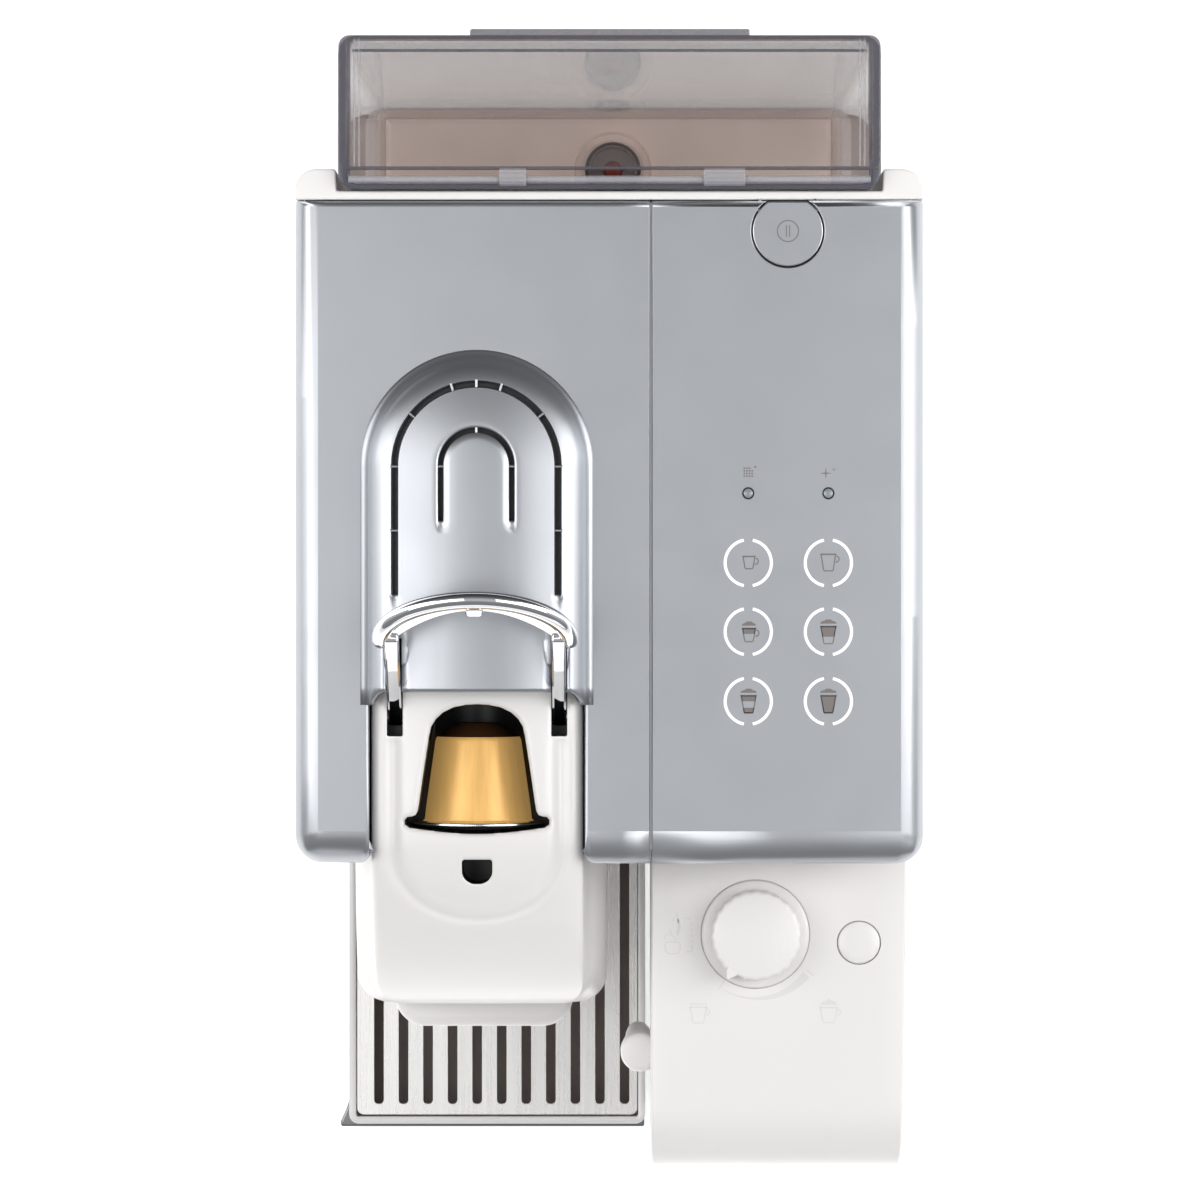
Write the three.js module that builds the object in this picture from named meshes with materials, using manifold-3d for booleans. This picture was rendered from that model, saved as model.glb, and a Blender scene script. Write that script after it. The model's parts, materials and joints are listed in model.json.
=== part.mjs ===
// Pod coffee machine with a milk jug: a body with a lift-off rear tank, a brew head with a loop lever,
// a clip-on milk jug and a pull-out drip tray. Millimetres, +Z up, front at -Y, X = 0 on the centre line.
import * as THREE from "three";
import { mergeVertices } from "three/addons/utils/BufferGeometryUtils.js";
import Module from "manifold-3d";

const wasm = await Module();
wasm.setup();

// ---------------------------------------------------------------- driving dimensions
const gap = 0.3; // between pieces that rest on or against each other
const play = 0.35; // around pieces that move
const wall = 2.4; // moulded covers

const bodyWidth = 173;
const bodyHalf = bodyWidth / 2;
const coverFront = -68; // front edge of the silver covers
const coverRear = 114.2;
const frameRear = 123; // rear corners of the body beside the tank
const frontWallY = -62;
const footHeight = 3;
const plateThickness = 3;
const baseTop = footHeight + plateThickness;
const coverTop = 248;
const coverSkirt = 18; // height of the silver covers' sides
const sideTop = coverTop - coverSkirt - gap;
const seamX = 11.4; // between the main cover and the control panel
const seamGap = 0.5;

const headX = -36.4;
const headHalf = 35.7;
const headNeckHalf = 29.35;
const headFront = -112;
const headBack = -20.7;
const headBottom = coverTop - 98;
const headTop = coverTop - 0.4;
const headWall = 2.2;

const humpRadius = 30;
const humpArcY = 42;
const humpHeight = 10;
const ventRadius = 22.2;
const ventWidth = 1.6;
const innerVentRadius = 9.7;

const pivotY = -27.5;
const pivotZ = coverTop - 8;
const armSpacing = 45.2; // between the centres of the lever's two arms
const armWidth = 3.8;
const armDepth = 5;
const leverReach = 56; // pivot to the crest of the loop
const loopHalf = 25.5;
const loopRise = 19;
const tubeRadius = 2.5;
const openAngle = 55; // of the open lever above the horizontal, in degrees
const closeTravel = 120;
const pinRadius = 1.7;

const capsuleAxisZ = coverTop - 20;
const flangeY = -57.4;
const flangeRadius = 18.5;
const capsuleRadius = 14.85;
const capsuleTipRadius = 11.8;
const capsuleLength = 29;
const cageRadius = 15.5;
const cageWall = 1.4;
const cageLength = 28;

const tankHalf = 74.5;
const tankFront = 117.2;
const tankRear = 159.4;
const tankBottom = 31;
const tankRim = coverTop + 2;
const tankWall = 2.2;
const tankDraft = 2.5; // each wall leans in by this from rim to bottom
const lidThickness = 4.4;
const lidTabRear = 161.3;
const valveX = 1.4;

const jugX = 48;
const jugHalf = 36.2;
const jugFront = -156.5;
const jugRear = frontWallY - gap;
const jugBottom = 12;
const jugLidTop = 205;
const jugLidBottom = 166;
const jugWall = 2.2;
const connectorZ = 186;
const connectorRadius = 7;

const trayLeft = -80.2;
const trayRight = 11.4;
const trayFront = -157.5;
const trayTop = 45;
const trayBottom = 13;
const trayWall = 2.2;
const trimFront = -161.3;
const gridThickness = 1.4;
const gridSlots = 11;
const gridPitch = 7.6;
const gridSlotWidth = 3;
const binTop = 116;
const binRear = 12;

// ---------------------------------------------------------------- solids
function solid(geometry) {
  const bare = geometry.clone();
  bare.deleteAttribute("normal");
  bare.deleteAttribute("uv");
  const merged = mergeVertices(bare, 1e-4);
  return new wasm.Manifold(
    new wasm.Mesh({
      numProp: 3,
      vertProperties: merged.attributes.position.array,
      triVerts: new Uint32Array(merged.index.array),
    }),
  );
}

function joined(first, ...others) {
  return others.reduce((sum, next) => sum.add(next), first);
}

function cut(first, ...others) {
  return others.reduce((rest, next) => rest.subtract(next), first);
}

function box(x0, x1, y0, y1, z0, z1) {
  const geometry = new THREE.BoxGeometry(x1 - x0, y1 - y0, z1 - z0);
  geometry.translate((x0 + x1) / 2, (y0 + y1) / 2, (z0 + z1) / 2);
  return solid(geometry);
}

// A flat outline drawn in the two named axes and pushed along the third.
function extrude(shape, from, to, options = {}) {
  const { curveSegments = 4, bevel = 0, bevelSegments = 2 } = options;
  const geometry = new THREE.ExtrudeGeometry(shape, {
    depth: to - from - 2 * bevel,
    curveSegments,
    bevelEnabled: bevel > 0,
    bevelThickness: bevel,
    bevelSize: bevel,
    bevelOffset: -bevel,
    bevelSegments,
  });
  geometry.translate(0, 0, from + bevel);
  return geometry;
}

function alongZ(shape, z0, z1, options) {
  return solid(extrude(shape, z0, z1, options));
}

// The outline's x is Y and its y is Z.
function alongX(shape, x0, x1, options) {
  const turn = new THREE.Matrix4().makeBasis(
    new THREE.Vector3(0, 1, 0),
    new THREE.Vector3(0, 0, 1),
    new THREE.Vector3(1, 0, 0),
  );
  return solid(extrude(shape, x0, x1, options).applyMatrix4(turn));
}

// The outline's x is X and its y is Z.
function alongY(shape, y0, y1, options) {
  const turn = new THREE.Matrix4().makeBasis(
    new THREE.Vector3(1, 0, 0),
    new THREE.Vector3(0, 0, 1),
    new THREE.Vector3(0, -1, 0),
  );
  return solid(extrude(shape, -y1, -y0, options).applyMatrix4(turn));
}

function rodZ(x, y, radius, z0, z1, sides = 24) {
  const geometry = new THREE.CylinderGeometry(radius, radius, z1 - z0, sides);
  geometry.rotateX(Math.PI / 2);
  geometry.translate(x, y, (z0 + z1) / 2);
  return solid(geometry);
}

function rodY(x, z, radius, y0, y1, sides = 24) {
  const geometry = new THREE.CylinderGeometry(radius, radius, y1 - y0, sides);
  geometry.translate(x, (y0 + y1) / 2, z);
  return solid(geometry);
}

function rodX(y, z, radius, x0, x1, sides = 24) {
  const geometry = new THREE.CylinderGeometry(radius, radius, x1 - x0, sides);
  geometry.rotateZ(Math.PI / 2);
  geometry.translate((x0 + x1) / 2, y, z);
  return solid(geometry);
}

// A turned piece: points are [radius, height] from the axis and back to it, round +Z.
function turned(points, sides = 32) {
  const outline = points.map(([radius, height]) => new THREE.Vector2(radius, height));
  const geometry = new THREE.LatheGeometry(outline, sides);
  geometry.rotateX(Math.PI / 2);
  return solid(geometry);
}

// A rectangle whose corners are rounded by their own radii: x0y0, x1y0, x1y1, x0y1.
function roundedRectangle(x0, x1, y0, y1, radii) {
  const [a, b, c, d] = radii;
  const shape = new THREE.Shape();
  shape.moveTo(x0 + a, y0);
  shape.lineTo(x1 - b, y0);
  if (b) shape.absarc(x1 - b, y0 + b, b, -Math.PI / 2, 0);
  shape.lineTo(x1, y1 - c);
  if (c) shape.absarc(x1 - c, y1 - c, c, 0, Math.PI / 2);
  shape.lineTo(x0 + d, y1);
  if (d) shape.absarc(x0 + d, y1 - d, d, Math.PI / 2, Math.PI);
  shape.lineTo(x0, y0 + a);
  if (a) shape.absarc(x0 + a, y0 + a, a, Math.PI, 1.5 * Math.PI);
  return shape;
}

// A block rounded in plan, along its side edges and over its front and rear edges.
function roundedBlock(x0, x1, y0, y1, z0, z1, round, segments = 3) {
  const { plan = [0, 0, 0, 0], left = 0, right = 0, front = 0, rear = 0 } = round;
  const options = { curveSegments: segments };
  const fromAbove = alongZ(roundedRectangle(x0, x1, y0, y1, plan), z0, z1, options);
  const across = roundedRectangle(x0, x1, z0, z1, [0, 0, right, left]);
  const fromSide = roundedRectangle(y0, y1, z0, z1, [0, 0, rear, front]);
  return fromAbove
    .intersect(alongY(across, y0, y1, options))
    .intersect(alongX(fromSide, x0, x1, options));
}

// An outline with a round end at +Y and straight sides down to yEnd.
function tombstone(x, arcY, radius, yEnd) {
  const shape = new THREE.Shape();
  shape.moveTo(x - radius, yEnd);
  shape.lineTo(x + radius, yEnd);
  shape.lineTo(x + radius, arcY);
  shape.absarc(x, arcY, radius, 0, Math.PI);
  shape.lineTo(x - radius, yEnd);
  return shape;
}

// A thin slot that follows a tombstone's outline.
function archSlot(x, arcY, radius, width, yEnd, z0, z1) {
  const options = { curveSegments: 12 };
  const outer = alongZ(tombstone(x, arcY, radius + width / 2, yEnd), z0, z1, options);
  const inner = alongZ(tombstone(x, arcY, radius - width / 2, yEnd - 1), z0 - 1, z1 + 1, options);
  return outer.subtract(inner);
}

function smoothOutline(points, steps) {
  const curve = new THREE.SplineCurve(points.map(([a, b]) => new THREE.Vector2(a, b)));
  return curve.getPoints(steps);
}

// ---------------------------------------------------------------- materials
function finish(color, roughness, metalness, extra = {}) {
  return () => new THREE.MeshStandardMaterial({ color, roughness, metalness, ...extra });
}

const silver = finish(0xb0b4ba, 0.35, 0.7);
const white = finish(0xf1eee9, 0.35, 0);
const black = finish(0x15181b, 0.5, 0);
const chrome = finish(0xe2e4e6, 0.08, 1);
const steel = finish(0xc9c9c8, 0.3, 1);
const darkMetal = finish(0x77797c, 0.45, 0.9);
const gold = finish(0xd9a658, 0.3, 1);
const rubber = finish(0x26282a, 0.9, 0);
const smoky = finish(0x9a9299, 0.1, 0, { transparent: true, opacity: 0.45 });
const frosted = finish(0xdfe3e4, 0.3, 0, { transparent: true, opacity: 0.5 });
const boardGreen = finish(0x2f6b45, 0.6, 0);
const greyPlastic = finish(0x8c9399, 0.4, 0);

// ---------------------------------------------------------------- scene graph
const machine = new THREE.Group();

function group(x, y, z, parent = machine) {
  const made = new THREE.Group();
  made.position.set(x, y, z);
  parent.add(made);
  return made;
}

function piece(parent, name, shape, material) {
  const mesh = shape.getMesh();
  const geometry = new THREE.BufferGeometry();
  geometry.setAttribute("position", new THREE.BufferAttribute(mesh.vertProperties, 3));
  geometry.setIndex(new THREE.BufferAttribute(mesh.triVerts, 1));
  geometry.computeVertexNormals();
  const made = new THREE.Mesh(geometry, material());
  made.name = name;
  parent.add(made);
  return made;
}

// ---------------------------------------------------------------- body shell
const body = group(0, 0, 0);
const sideInner = bodyHalf - wall;
const shelfRear = tankRear - 1.4;

function basePlate() {
  const plate = alongZ(
    roundedRectangle(-sideInner + gap, sideInner - gap, frontWallY, shelfRear, [4, 4, 8, 8]),
    footHeight,
    baseTop,
  );
  const bosses = [-1, 1].map((side) =>
    rodZ(side * 60, 20, 5, baseTop - 0.5, baseTop + 8, 16),
  );
  return joined(plate, ...bosses);
}
piece(body, "base_plate", basePlate(), black);

const footInset = 14;
const footRadius = 8;
const footPlaces = [
  ["foot_front_left", -sideInner + footInset, frontWallY + footInset],
  ["foot_front_right", sideInner - footInset, frontWallY + footInset],
  ["foot_rear_left", -sideInner + footInset, shelfRear - footInset],
  ["foot_rear_right", sideInner - footInset, shelfRear - footInset],
];
for (const [name, x, y] of footPlaces) {
  const foot = turned([[0, 0], [footRadius - 1, 0], [footRadius, 1], [footRadius, footHeight - gap],
    [0, footHeight - gap]], 20);
  piece(body, name, foot, rubber).position.set(x, y, 0);
}

const wallRear = coverRear + gap; // front face of the rear wall

// One side panel, drawn for the left and mirrored for the right.
function sideCover(side) {
  const x0 = side < 0 ? -bodyHalf : sideInner;
  const panel = alongX(
    roundedRectangle(frontWallY - gap, wallRear - gap, baseTop + gap, sideTop, [3, 0, 0, 0]),
    x0,
    x0 + wall,
  );
  const rib = (y) => {
    const x = side < 0 ? -sideInner - 0.2 : sideInner - 2;
    return box(x, x + 2.2, y, y + 2, baseTop + 10, sideTop - 10);
  };
  return joined(panel, rib(-30), rib(25), rib(80));
}
piece(body, "left_side_cover", sideCover(-1), white);
piece(body, "right_side_cover", sideCover(1), white);

const wallInnerHalf = sideInner - gap;
const tankSideGap = 1.5;

function rearWall() {
  const outer = alongZ(
    roundedRectangle(-bodyHalf, bodyHalf, wallRear, frameRear, [0, 0, 6, 6]),
    baseTop + gap,
    coverTop - 1,
  );
  const pocket = box(-tankHalf - tankSideGap, tankHalf + tankSideGap, tankFront - gap, frameRear + 1,
    baseTop, coverTop + 1);
  return cut(outer, pocket);
}
piece(body, "rear_wall", rearWall(), white);

const headSlotHalf = headHalf + gap;
const binHalf = 36;
const binX = -34.4;
const binOpening = 2;

function frontWall() {
  const sheet = box(-wallInnerHalf, wallInnerHalf, frontWallY, frontWallY + wall, baseTop + gap, sideTop);
  const headSlot = box(headX - headSlotHalf, headX + headSlotHalf, frontWallY - 1, frontWallY + wall + 1,
    headBottom - gap, sideTop + 1);
  const binSlot = box(binX - binHalf - binOpening, binX + binHalf + binOpening, frontWallY - 1,
    frontWallY + wall + 1, trayBottom - 1.5, headBottom - 6);
  const port = rodY(jugX, connectorZ, connectorRadius + play, frontWallY - 1, frontWallY + wall + 1);
  return cut(sheet, headSlot, binSlot, port);
}
piece(body, "front_wall", frontWall(), white);

// ---------------------------------------------------------------- silver covers
const coverBottom = coverTop - coverSkirt;

function coverShell(x0, x1, round) {
  const outer = roundedBlock(x0, x1, coverFront, coverRear, coverBottom, coverTop, round);
  const seamLeft = round.left ? wall : -1;
  const seamRight = round.right ? wall : -1;
  const innerRound = {
    left: Math.max((round.left ?? 0) - wall, 0),
    right: Math.max((round.right ?? 0) - wall, 0),
    front: Math.max(round.front - wall, 0),
  };
  const inner = roundedBlock(x0 + seamLeft, x1 - seamRight, coverFront + wall, coverRear - wall,
    coverBottom - 1, coverTop - wall, innerRound);
  return cut(outer, inner);
}

const laneHalf = armWidth / 2 + play; // half the width of each slot that a lever arm swings in
const laneBack = pivotY + 21.5;

function leverLanes(z0, z1) {
  return [-1, 1].map((side) => {
    const x = headX + (side * armSpacing) / 2;
    return box(x - laneHalf, x + laneHalf, headBack - 14, laneBack, z0, z1);
  });
}

function topCover() {
  const shell = coverShell(-bodyHalf, seamX - seamGap / 2, { plan: [8, 0, 0, 3], left: 6.5, front: 9, rear: 3 });
  const options = { curveSegments: 10, bevel: 6, bevelSegments: 3 };
  const humpTop = coverTop + humpHeight;
  const outline = tombstone(headX, humpArcY, humpRadius, coverFront);
  const hump = alongZ(outline, coverTop - 14, humpTop, options);
  const hollow = alongZ(tombstone(headX, humpArcY, humpRadius - wall, coverFront - 1), coverTop - 15,
    humpTop - wall, options);
  const neck = box(headX - headNeckHalf - gap, headX + headNeckHalf + gap, coverFront - 1, headBack,
    coverBottom - 1, humpTop + 1);
  const aboveOnly = box(headX - 40, headX + 40, headBack, humpArcY + 40, coverTop - wall, humpTop + 1);
  const frontSlice = box(headX - 40, headX + 40, coverFront - 1, headBack, coverTop - 15, humpTop + 1);
  const raised = cut(hump.intersect(aboveOnly), frontSlice);
  const slots = [
    archSlot(headX, humpArcY - 1.6, ventRadius, ventWidth, 6, coverTop, humpTop + 1),
    archSlot(headX, humpArcY - 1.2, innerVentRadius, ventWidth, 26, coverTop, humpTop + 1),
  ];
  return cut(joined(shell, raised), hollow, neck, ...slots, ...leverLanes(coverBottom, humpTop + 1));
}
piece(body, "top_cover", topCover(), silver);

const buttonX = 49;
const buttonY = 105.8;
const buttonRadius = 9.7;
const lensY = 33.8;
const lensRadius = 1.6;
const keyColumns = [38.1, 60.1];

function controlPanel() {
  const shell = coverShell(seamX + seamGap / 2, bodyHalf, { plan: [0, 8, 3, 0], right: 6.5, front: 9, rear: 3 });
  const buttonHole = rodZ(buttonX, buttonY, buttonRadius + play, coverBottom + 8, coverTop + 1, 32);
  const lensHoles = keyColumns.map((x) => rodZ(x, lensY, lensRadius + 0.15, coverTop - 4, coverTop + 1, 12));
  return cut(shell, buttonHole, ...lensHoles);
}
piece(body, "control_panel", controlPanel(), silver);

const ventPlate = alongZ(tombstone(headX, humpArcY - 1, humpRadius - wall - 2, laneBack + 2),
  coverTop + 3, coverTop + 4.5);
piece(body, "vent_insert", ventPlate, black);

const touchBoard = box(seamX + 6, bodyHalf - 8, -44, 50, coverTop - wall - 6, coverTop - wall - 4.4);
piece(body, "touch_board", touchBoard, boardGreen);

keyColumns.forEach((x, i) => {
  const lens = rodZ(x, lensY, lensRadius, coverTop - wall - 3, coverTop - 0.2, 12);
  piece(body, ["descale_lens", "clean_lens"][i], lens, greyPlastic);
});

function powerButton() {
  const cap = rodZ(buttonX, buttonY, buttonRadius, coverTop - 5, coverTop, 32);
  const rearFace = box(buttonX - 20, buttonX + 20, coverRear - 0.2, coverRear + 20, coverTop - 20, coverTop + 5);
  const stem = rodZ(buttonX, buttonY - 1, 3, coverTop - 12, coverTop - 4.5, 12);
  return joined(cut(cap, rearFace), stem);
}
piece(body, "power_button", powerButton(), silver);

// ---------------------------------------------------------------- brew head
const head = group(headX, 0, 0);

// Half the head's width at each height, from the underside up to the crown.
function headAcross(inset) {
  const right = smoothOutline([
    [headHalf - 1.7, headBottom], [headHalf, headBottom + 14], [headHalf, headBottom + 42],
    [headHalf - 1.6, headBottom + 58], [headNeckHalf + 2.2, coverBottom - 9], [headNeckHalf, coverBottom - 1],
    [headNeckHalf - 0.8, headTop - 7], [headNeckHalf - 5, headTop - 2.2], [16, headTop - 0.5], [0, headTop],
  ], 18).map((p) => new THREE.Vector2(Math.max(p.x - inset, 0), p.y - (p.y > headTop - 9 ? inset : 0)));
  const left = right.slice(0, -1).reverse().map((p) => new THREE.Vector2(-p.x, p.y));
  return new THREE.Shape([...right, ...left]);
}

// The head's outline from the side: flat crown, then a long curve down the nose.
function headAlong() {
  const nose = smoothOutline([
    [-60, headTop - 0.4], [-74, headTop - 4.5], [-86, headTop - 13], [-97, headTop - 27],
    [headFront + 6, headTop - 45], [headFront + 1.5, headTop - 63], [headFront, headTop - 80],
    [headFront + 1, headBottom],
  ], 16);
  return new THREE.Shape([
    new THREE.Vector2(headBack, headTop),
    ...nose,
    new THREE.Vector2(headBack, headBottom),
  ]);
}

function capsuleOpening(z0, z1) {
  const flangeHalf = flangeRadius + 0.9;
  const shape = new THREE.Shape();
  const flangeBack = flangeY + 2.2;
  shape.moveTo(-flangeHalf, flangeBack);
  shape.lineTo(-flangeHalf, flangeY - 1.2);
  shape.quadraticCurveTo(0, flangeY - 6, flangeHalf, flangeY - 1.2);
  shape.lineTo(flangeHalf, flangeBack);
  shape.lineTo(16.6, flangeBack);
  shape.lineTo(12.4, pivotY - 1);
  shape.quadraticCurveTo(10, -24.4, 0, -24.2);
  shape.quadraticCurveTo(-10, -24.4, -12.4, pivotY - 1);
  shape.lineTo(-16.6, flangeBack);
  return alongZ(shape, z0, z1, { curveSegments: 5 });
}

const loopBase = leverReach - loopRise;

// The lever's loop seen square on: outline grown by `grow`, pushed from z0 to z1 in the lever's own frame.
function loopPlate(grow, z0, z1) {
  const outer = new THREE.Shape();
  const rx = loopHalf + tubeRadius + grow;
  const ry = loopRise + tubeRadius + grow;
  outer.absellipse(0, loopBase, rx, ry, 0, Math.PI, false);
  outer.lineTo(-rx, loopBase - 3 - grow);
  outer.lineTo(-loopHalf + tubeRadius + grow, loopBase - 3 - grow);
  outer.quadraticCurveTo(0, loopBase + 22 - 2 * grow, loopHalf - tubeRadius - grow, loopBase - 3 - grow);
  outer.lineTo(rx, loopBase - 3 - grow);
  return alongZ(outer, z0, z1, { curveSegments: 12 });
}

function radians(degrees) {
  return (degrees * Math.PI) / 180;
}

const toothHalf = 2.7;
const toothFrom = 40.5;
const seatDepth = tubeRadius + 0.8;

// The seat that the closed lever drops into, in the lever's own frame, then turned to the closed angle.
function leverSeat() {
  const lanes = [-1, 1].map((side) => {
    const x = (side * armSpacing) / 2;
    return box(x - laneHalf, x + laneHalf, -1, loopBase, -30, seatDepth);
  });
  const toothHole = box(-toothHalf - 1.5, toothHalf + 1.5, toothFrom - 1.2, toothFrom + 8, -30, 10);
  const seat = joined(loopPlate(0.8, -30, seatDepth), ...lanes, toothHole);
  return seat.rotate([openAngle + closeTravel, 0, 0]).translate([0, pivotY, pivotZ]);
}

const linerHalf = flangeRadius + 1.8;
const linerTop = pivotZ - 4.7;
const linerFront = flangeY - 4;
const linerBottom = capsuleAxisZ - flangeRadius - 2.4;

function headShell() {
  const options = { curveSegments: 5 };
  const plan = roundedRectangle(-headHalf, headHalf, headFront, headBack, [12, 12, 0, 0]);
  const outer = alongZ(plan, headBottom, headTop, options)
    .intersect(alongY(headAcross(0), headFront, headBack))
    .intersect(alongX(headAlong(), -headHalf, headHalf));
  const hollow = box(-headNeckHalf + headWall, headNeckHalf - headWall, headFront + 9, headBack + 1,
    headBottom - 1, capsuleAxisZ - 8);
  const linerSpace = box(-linerHalf - gap, linerHalf + gap, linerFront - gap, headBack + 1,
    linerBottom - 5, linerTop + gap);
  const cageTunnel = rodY(0, capsuleAxisZ, cageRadius + play, pivotY - 12, headBack + 1, 28);
  const lanes = leverLanes(pivotZ - 5.5, headTop + 1).map((lane) => lane.translate([-headX, 0, 0]));
  const pinPockets = rodX(pivotY, pivotZ, pinRadius + gap, -headNeckHalf + headWall, headNeckHalf - headWall, 16);
  return cut(outer, hollow, linerSpace, cageTunnel, capsuleOpening(linerTop - 1, headTop + 1), leverSeat(),
    ...lanes, pinPockets);
}
piece(head, "head_shell", headShell(), white);

function slotLiner() {
  const outer = box(-linerHalf, linerHalf, linerFront, headBack - gap, linerBottom, linerTop);
  const inner = box(-linerHalf + 1.2, linerHalf - 1.2, linerFront + 1.2, headBack + 1, linerBottom + 1.2,
    linerTop + 1);
  const chute = box(-12, 12, linerFront + 8, headBack - 4, linerBottom - 1, linerBottom + 2);
  return cut(outer, inner, chute);
}
piece(head, "capsule_slot_liner", slotLiner(), black);

function capsuleShape() {
  const shell = turned([
    [0, 0], [flangeRadius, 0], [flangeRadius, 1.1], [capsuleRadius, 1.1],
    [capsuleTipRadius, 24], [6.5, capsuleLength - 0.6], [0, capsuleLength - 0.6],
  ], 36);
  return shell.rotate([-90, 0, 0]);
}
piece(head, "capsule", capsuleShape(), gold).position.set(0, flangeY - 0.5, capsuleAxisZ);

for (const [name, side] of [["lever_pin_left", -1], ["lever_pin_right", 1]]) {
  const near = armSpacing / 2 - armWidth / 2;
  const far = headNeckHalf - headWall - gap;
  const pin = side < 0 ? rodX(0, 0, pinRadius, -far, -near, 16) : rodX(0, 0, pinRadius, near, far, 16);
  piece(head, name, pin, steel).position.set(0, pivotY, pivotZ);
}

const outletHalf = 26;
const outletFront = -119.8;

function coffeeOutlet() {
  const z1 = headBottom - gap;
  const lip = roundedBlock(-outletHalf, outletHalf, outletFront, -74, z1 - 12, z1,
    { plan: [9, 9, 4, 4], front: 5 });
  const nozzles = [-8, 8].map((x) => {
    const body = turned([[0, 0], [3.2, 0], [4.6, 9], [0, 9]], 16);
    return body.translate([x, -98, z1 - 20]);
  });
  return joined(lip, ...nozzles);
}
piece(head, "coffee_outlet", coffeeOutlet(), white);

// Lever, drawn flat with its pivot at the origin and its length along +Y, then tipped up.
function leverShape() {
  const profile = new THREE.Shape();
  profile.absellipse(0, 0, tubeRadius, tubeRadius * 0.92, 0, 2 * Math.PI);
  const path = new THREE.CatmullRomCurve3(
    Array.from({ length: 13 }, (_, i) => {
      const a = Math.PI * (1 - i / 12);
      return new THREE.Vector3(loopHalf * Math.cos(a), loopBase + loopRise * Math.sin(a), 0);
    }),
  );
  const tube = solid(new THREE.ExtrudeGeometry(profile, { steps: 18, curveSegments: 5, extrudePath: path }));
  const web = loopPlate(-1.2, -0.8, 0.8);
  const tooth = box(-toothHalf, toothHalf, toothFrom, toothFrom + 11, -0.8, 0.8).add(
    box(-toothHalf, toothHalf, toothFrom, toothFrom + 6, 0, 7),
  );
  const arms = [-1, 1].map((side) => {
    const x = (side * armSpacing) / 2;
    const bar = box(x - armWidth / 2, x + armWidth / 2, 0, loopBase + 1, -armDepth / 2, armDepth / 2);
    const eye = rodX(0, 0, 4.2, x - armWidth / 2, x + armWidth / 2, 20);
    const bore = rodX(0, 0, pinRadius + play, x - 5, x + 5, 16);
    return cut(joined(bar, eye), bore);
  });
  const ends = [-1, 1].map((side) => {
    const ball = new THREE.SphereGeometry(tubeRadius, 10, 6);
    ball.translate(side * loopHalf, loopBase, 0);
    return solid(ball);
  });
  return joined(tube, web, tooth, ...arms, ...ends);
}
const lever = piece(head, "lever", leverShape(), chrome);
lever.position.set(0, pivotY, pivotZ);
lever.rotation.x = radians(openAngle);

const brewFrameFront = headBack + gap;
const brewFrameRear = brewFrameFront + 58;

function brewFrame() {
  const outer = box(-26, 26, brewFrameFront, brewFrameRear, linerBottom, coverTop - wall - 1.2);
  const bore = rodY(0, capsuleAxisZ, cageRadius + play, brewFrameFront - 1, brewFrameRear - 6, 28);
  const armSpace = leverLanes(pivotZ - 10, coverTop + 2).map((lane) => lane.translate([-headX, 0, 0]));
  const trough = box(-9, 9, brewFrameFront - 1, brewFrameRear - 10, linerBottom - 1, capsuleAxisZ);
  return cut(outer, bore, trough, ...armSpace);
}
piece(head, "brew_frame", brewFrame(), black);

function brewCage() {
  const outer = rodY(0, 0, cageRadius, 0, cageLength, 28);
  const cup = rodY(0, 0, cageRadius - cageWall, -1, cageLength - 4, 28);
  return cut(outer, cup);
}
piece(head, "brew_cage", brewCage(), steel).position.set(0, brewFrameFront + 1, capsuleAxisZ);

// ---------------------------------------------------------------- inside the body
const heaterY = 62;
const heaterZ = 160;

function thermoblock() {
  const block = roundedBlock(-70, -14, heaterY - 22, heaterY + 22, heaterZ, heaterZ + 34,
    { plan: [6, 6, 6, 6], left: 4, right: 4 }, 3);
  const ports = [-56, -28].map((x) => rodZ(x, heaterY, 3, heaterZ + 33, heaterZ + 42, 12));
  return joined(block, ...ports);
}
piece(body, "thermoblock", thermoblock(), darkMetal);

const pumpX = -34;
const pumpZ = 46;
const pumpFront = 30;

function waterPump() {
  const coil = rodY(pumpX, pumpZ, 17, pumpFront + 8, pumpFront + 46, 24);
  const nose = rodY(pumpX, pumpZ, 6, pumpFront, pumpFront + 9, 16);
  const tail = rodY(pumpX, pumpZ, 5, pumpFront + 45, pumpFront + 56, 16);
  return joined(coil, nose, tail);
}
piece(body, "water_pump", waterPump(), darkMetal);

function pumpMount() {
  const saddle = box(pumpX - 24, pumpX + 24, pumpFront + 18, pumpFront + 36, baseTop + gap, pumpZ);
  return cut(saddle, rodY(pumpX, pumpZ, 17 + gap, pumpFront, pumpFront + 60, 24));
}
piece(body, "pump_mount", pumpMount(), rubber);

function hose(points, radius) {
  const profile = new THREE.Shape();
  profile.absarc(0, 0, radius, 0, 2 * Math.PI);
  const path = new THREE.CatmullRomCurve3(points.map(([x, y, z]) => new THREE.Vector3(x, y, z)));
  return solid(new THREE.ExtrudeGeometry(profile, { steps: 22, curveSegments: 4, extrudePath: path }));
}
const hoseRadius = 2.6;
const pumpHose = hose([
  [pumpX, pumpFront - 2 * gap, pumpZ], [pumpX, pumpFront - 5, pumpZ], [pumpX + 6, pumpFront - 13, pumpZ + 8],
  [-8, 18, pumpZ + 40], [-4, 40, heaterZ - 20], [-4, heaterY, heaterZ + 30], [-14, heaterY, heaterZ + 60],
  [-27.5, heaterY, heaterZ + 56], [-28, heaterY, heaterZ + 42 + 2 * gap],
], hoseRadius);
piece(body, "pump_hose", pumpHose, frosted);

const powerBoard = box(58, 60, -20, 90, 30, 130);
piece(body, "power_board", powerBoard, boardGreen);

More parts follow.
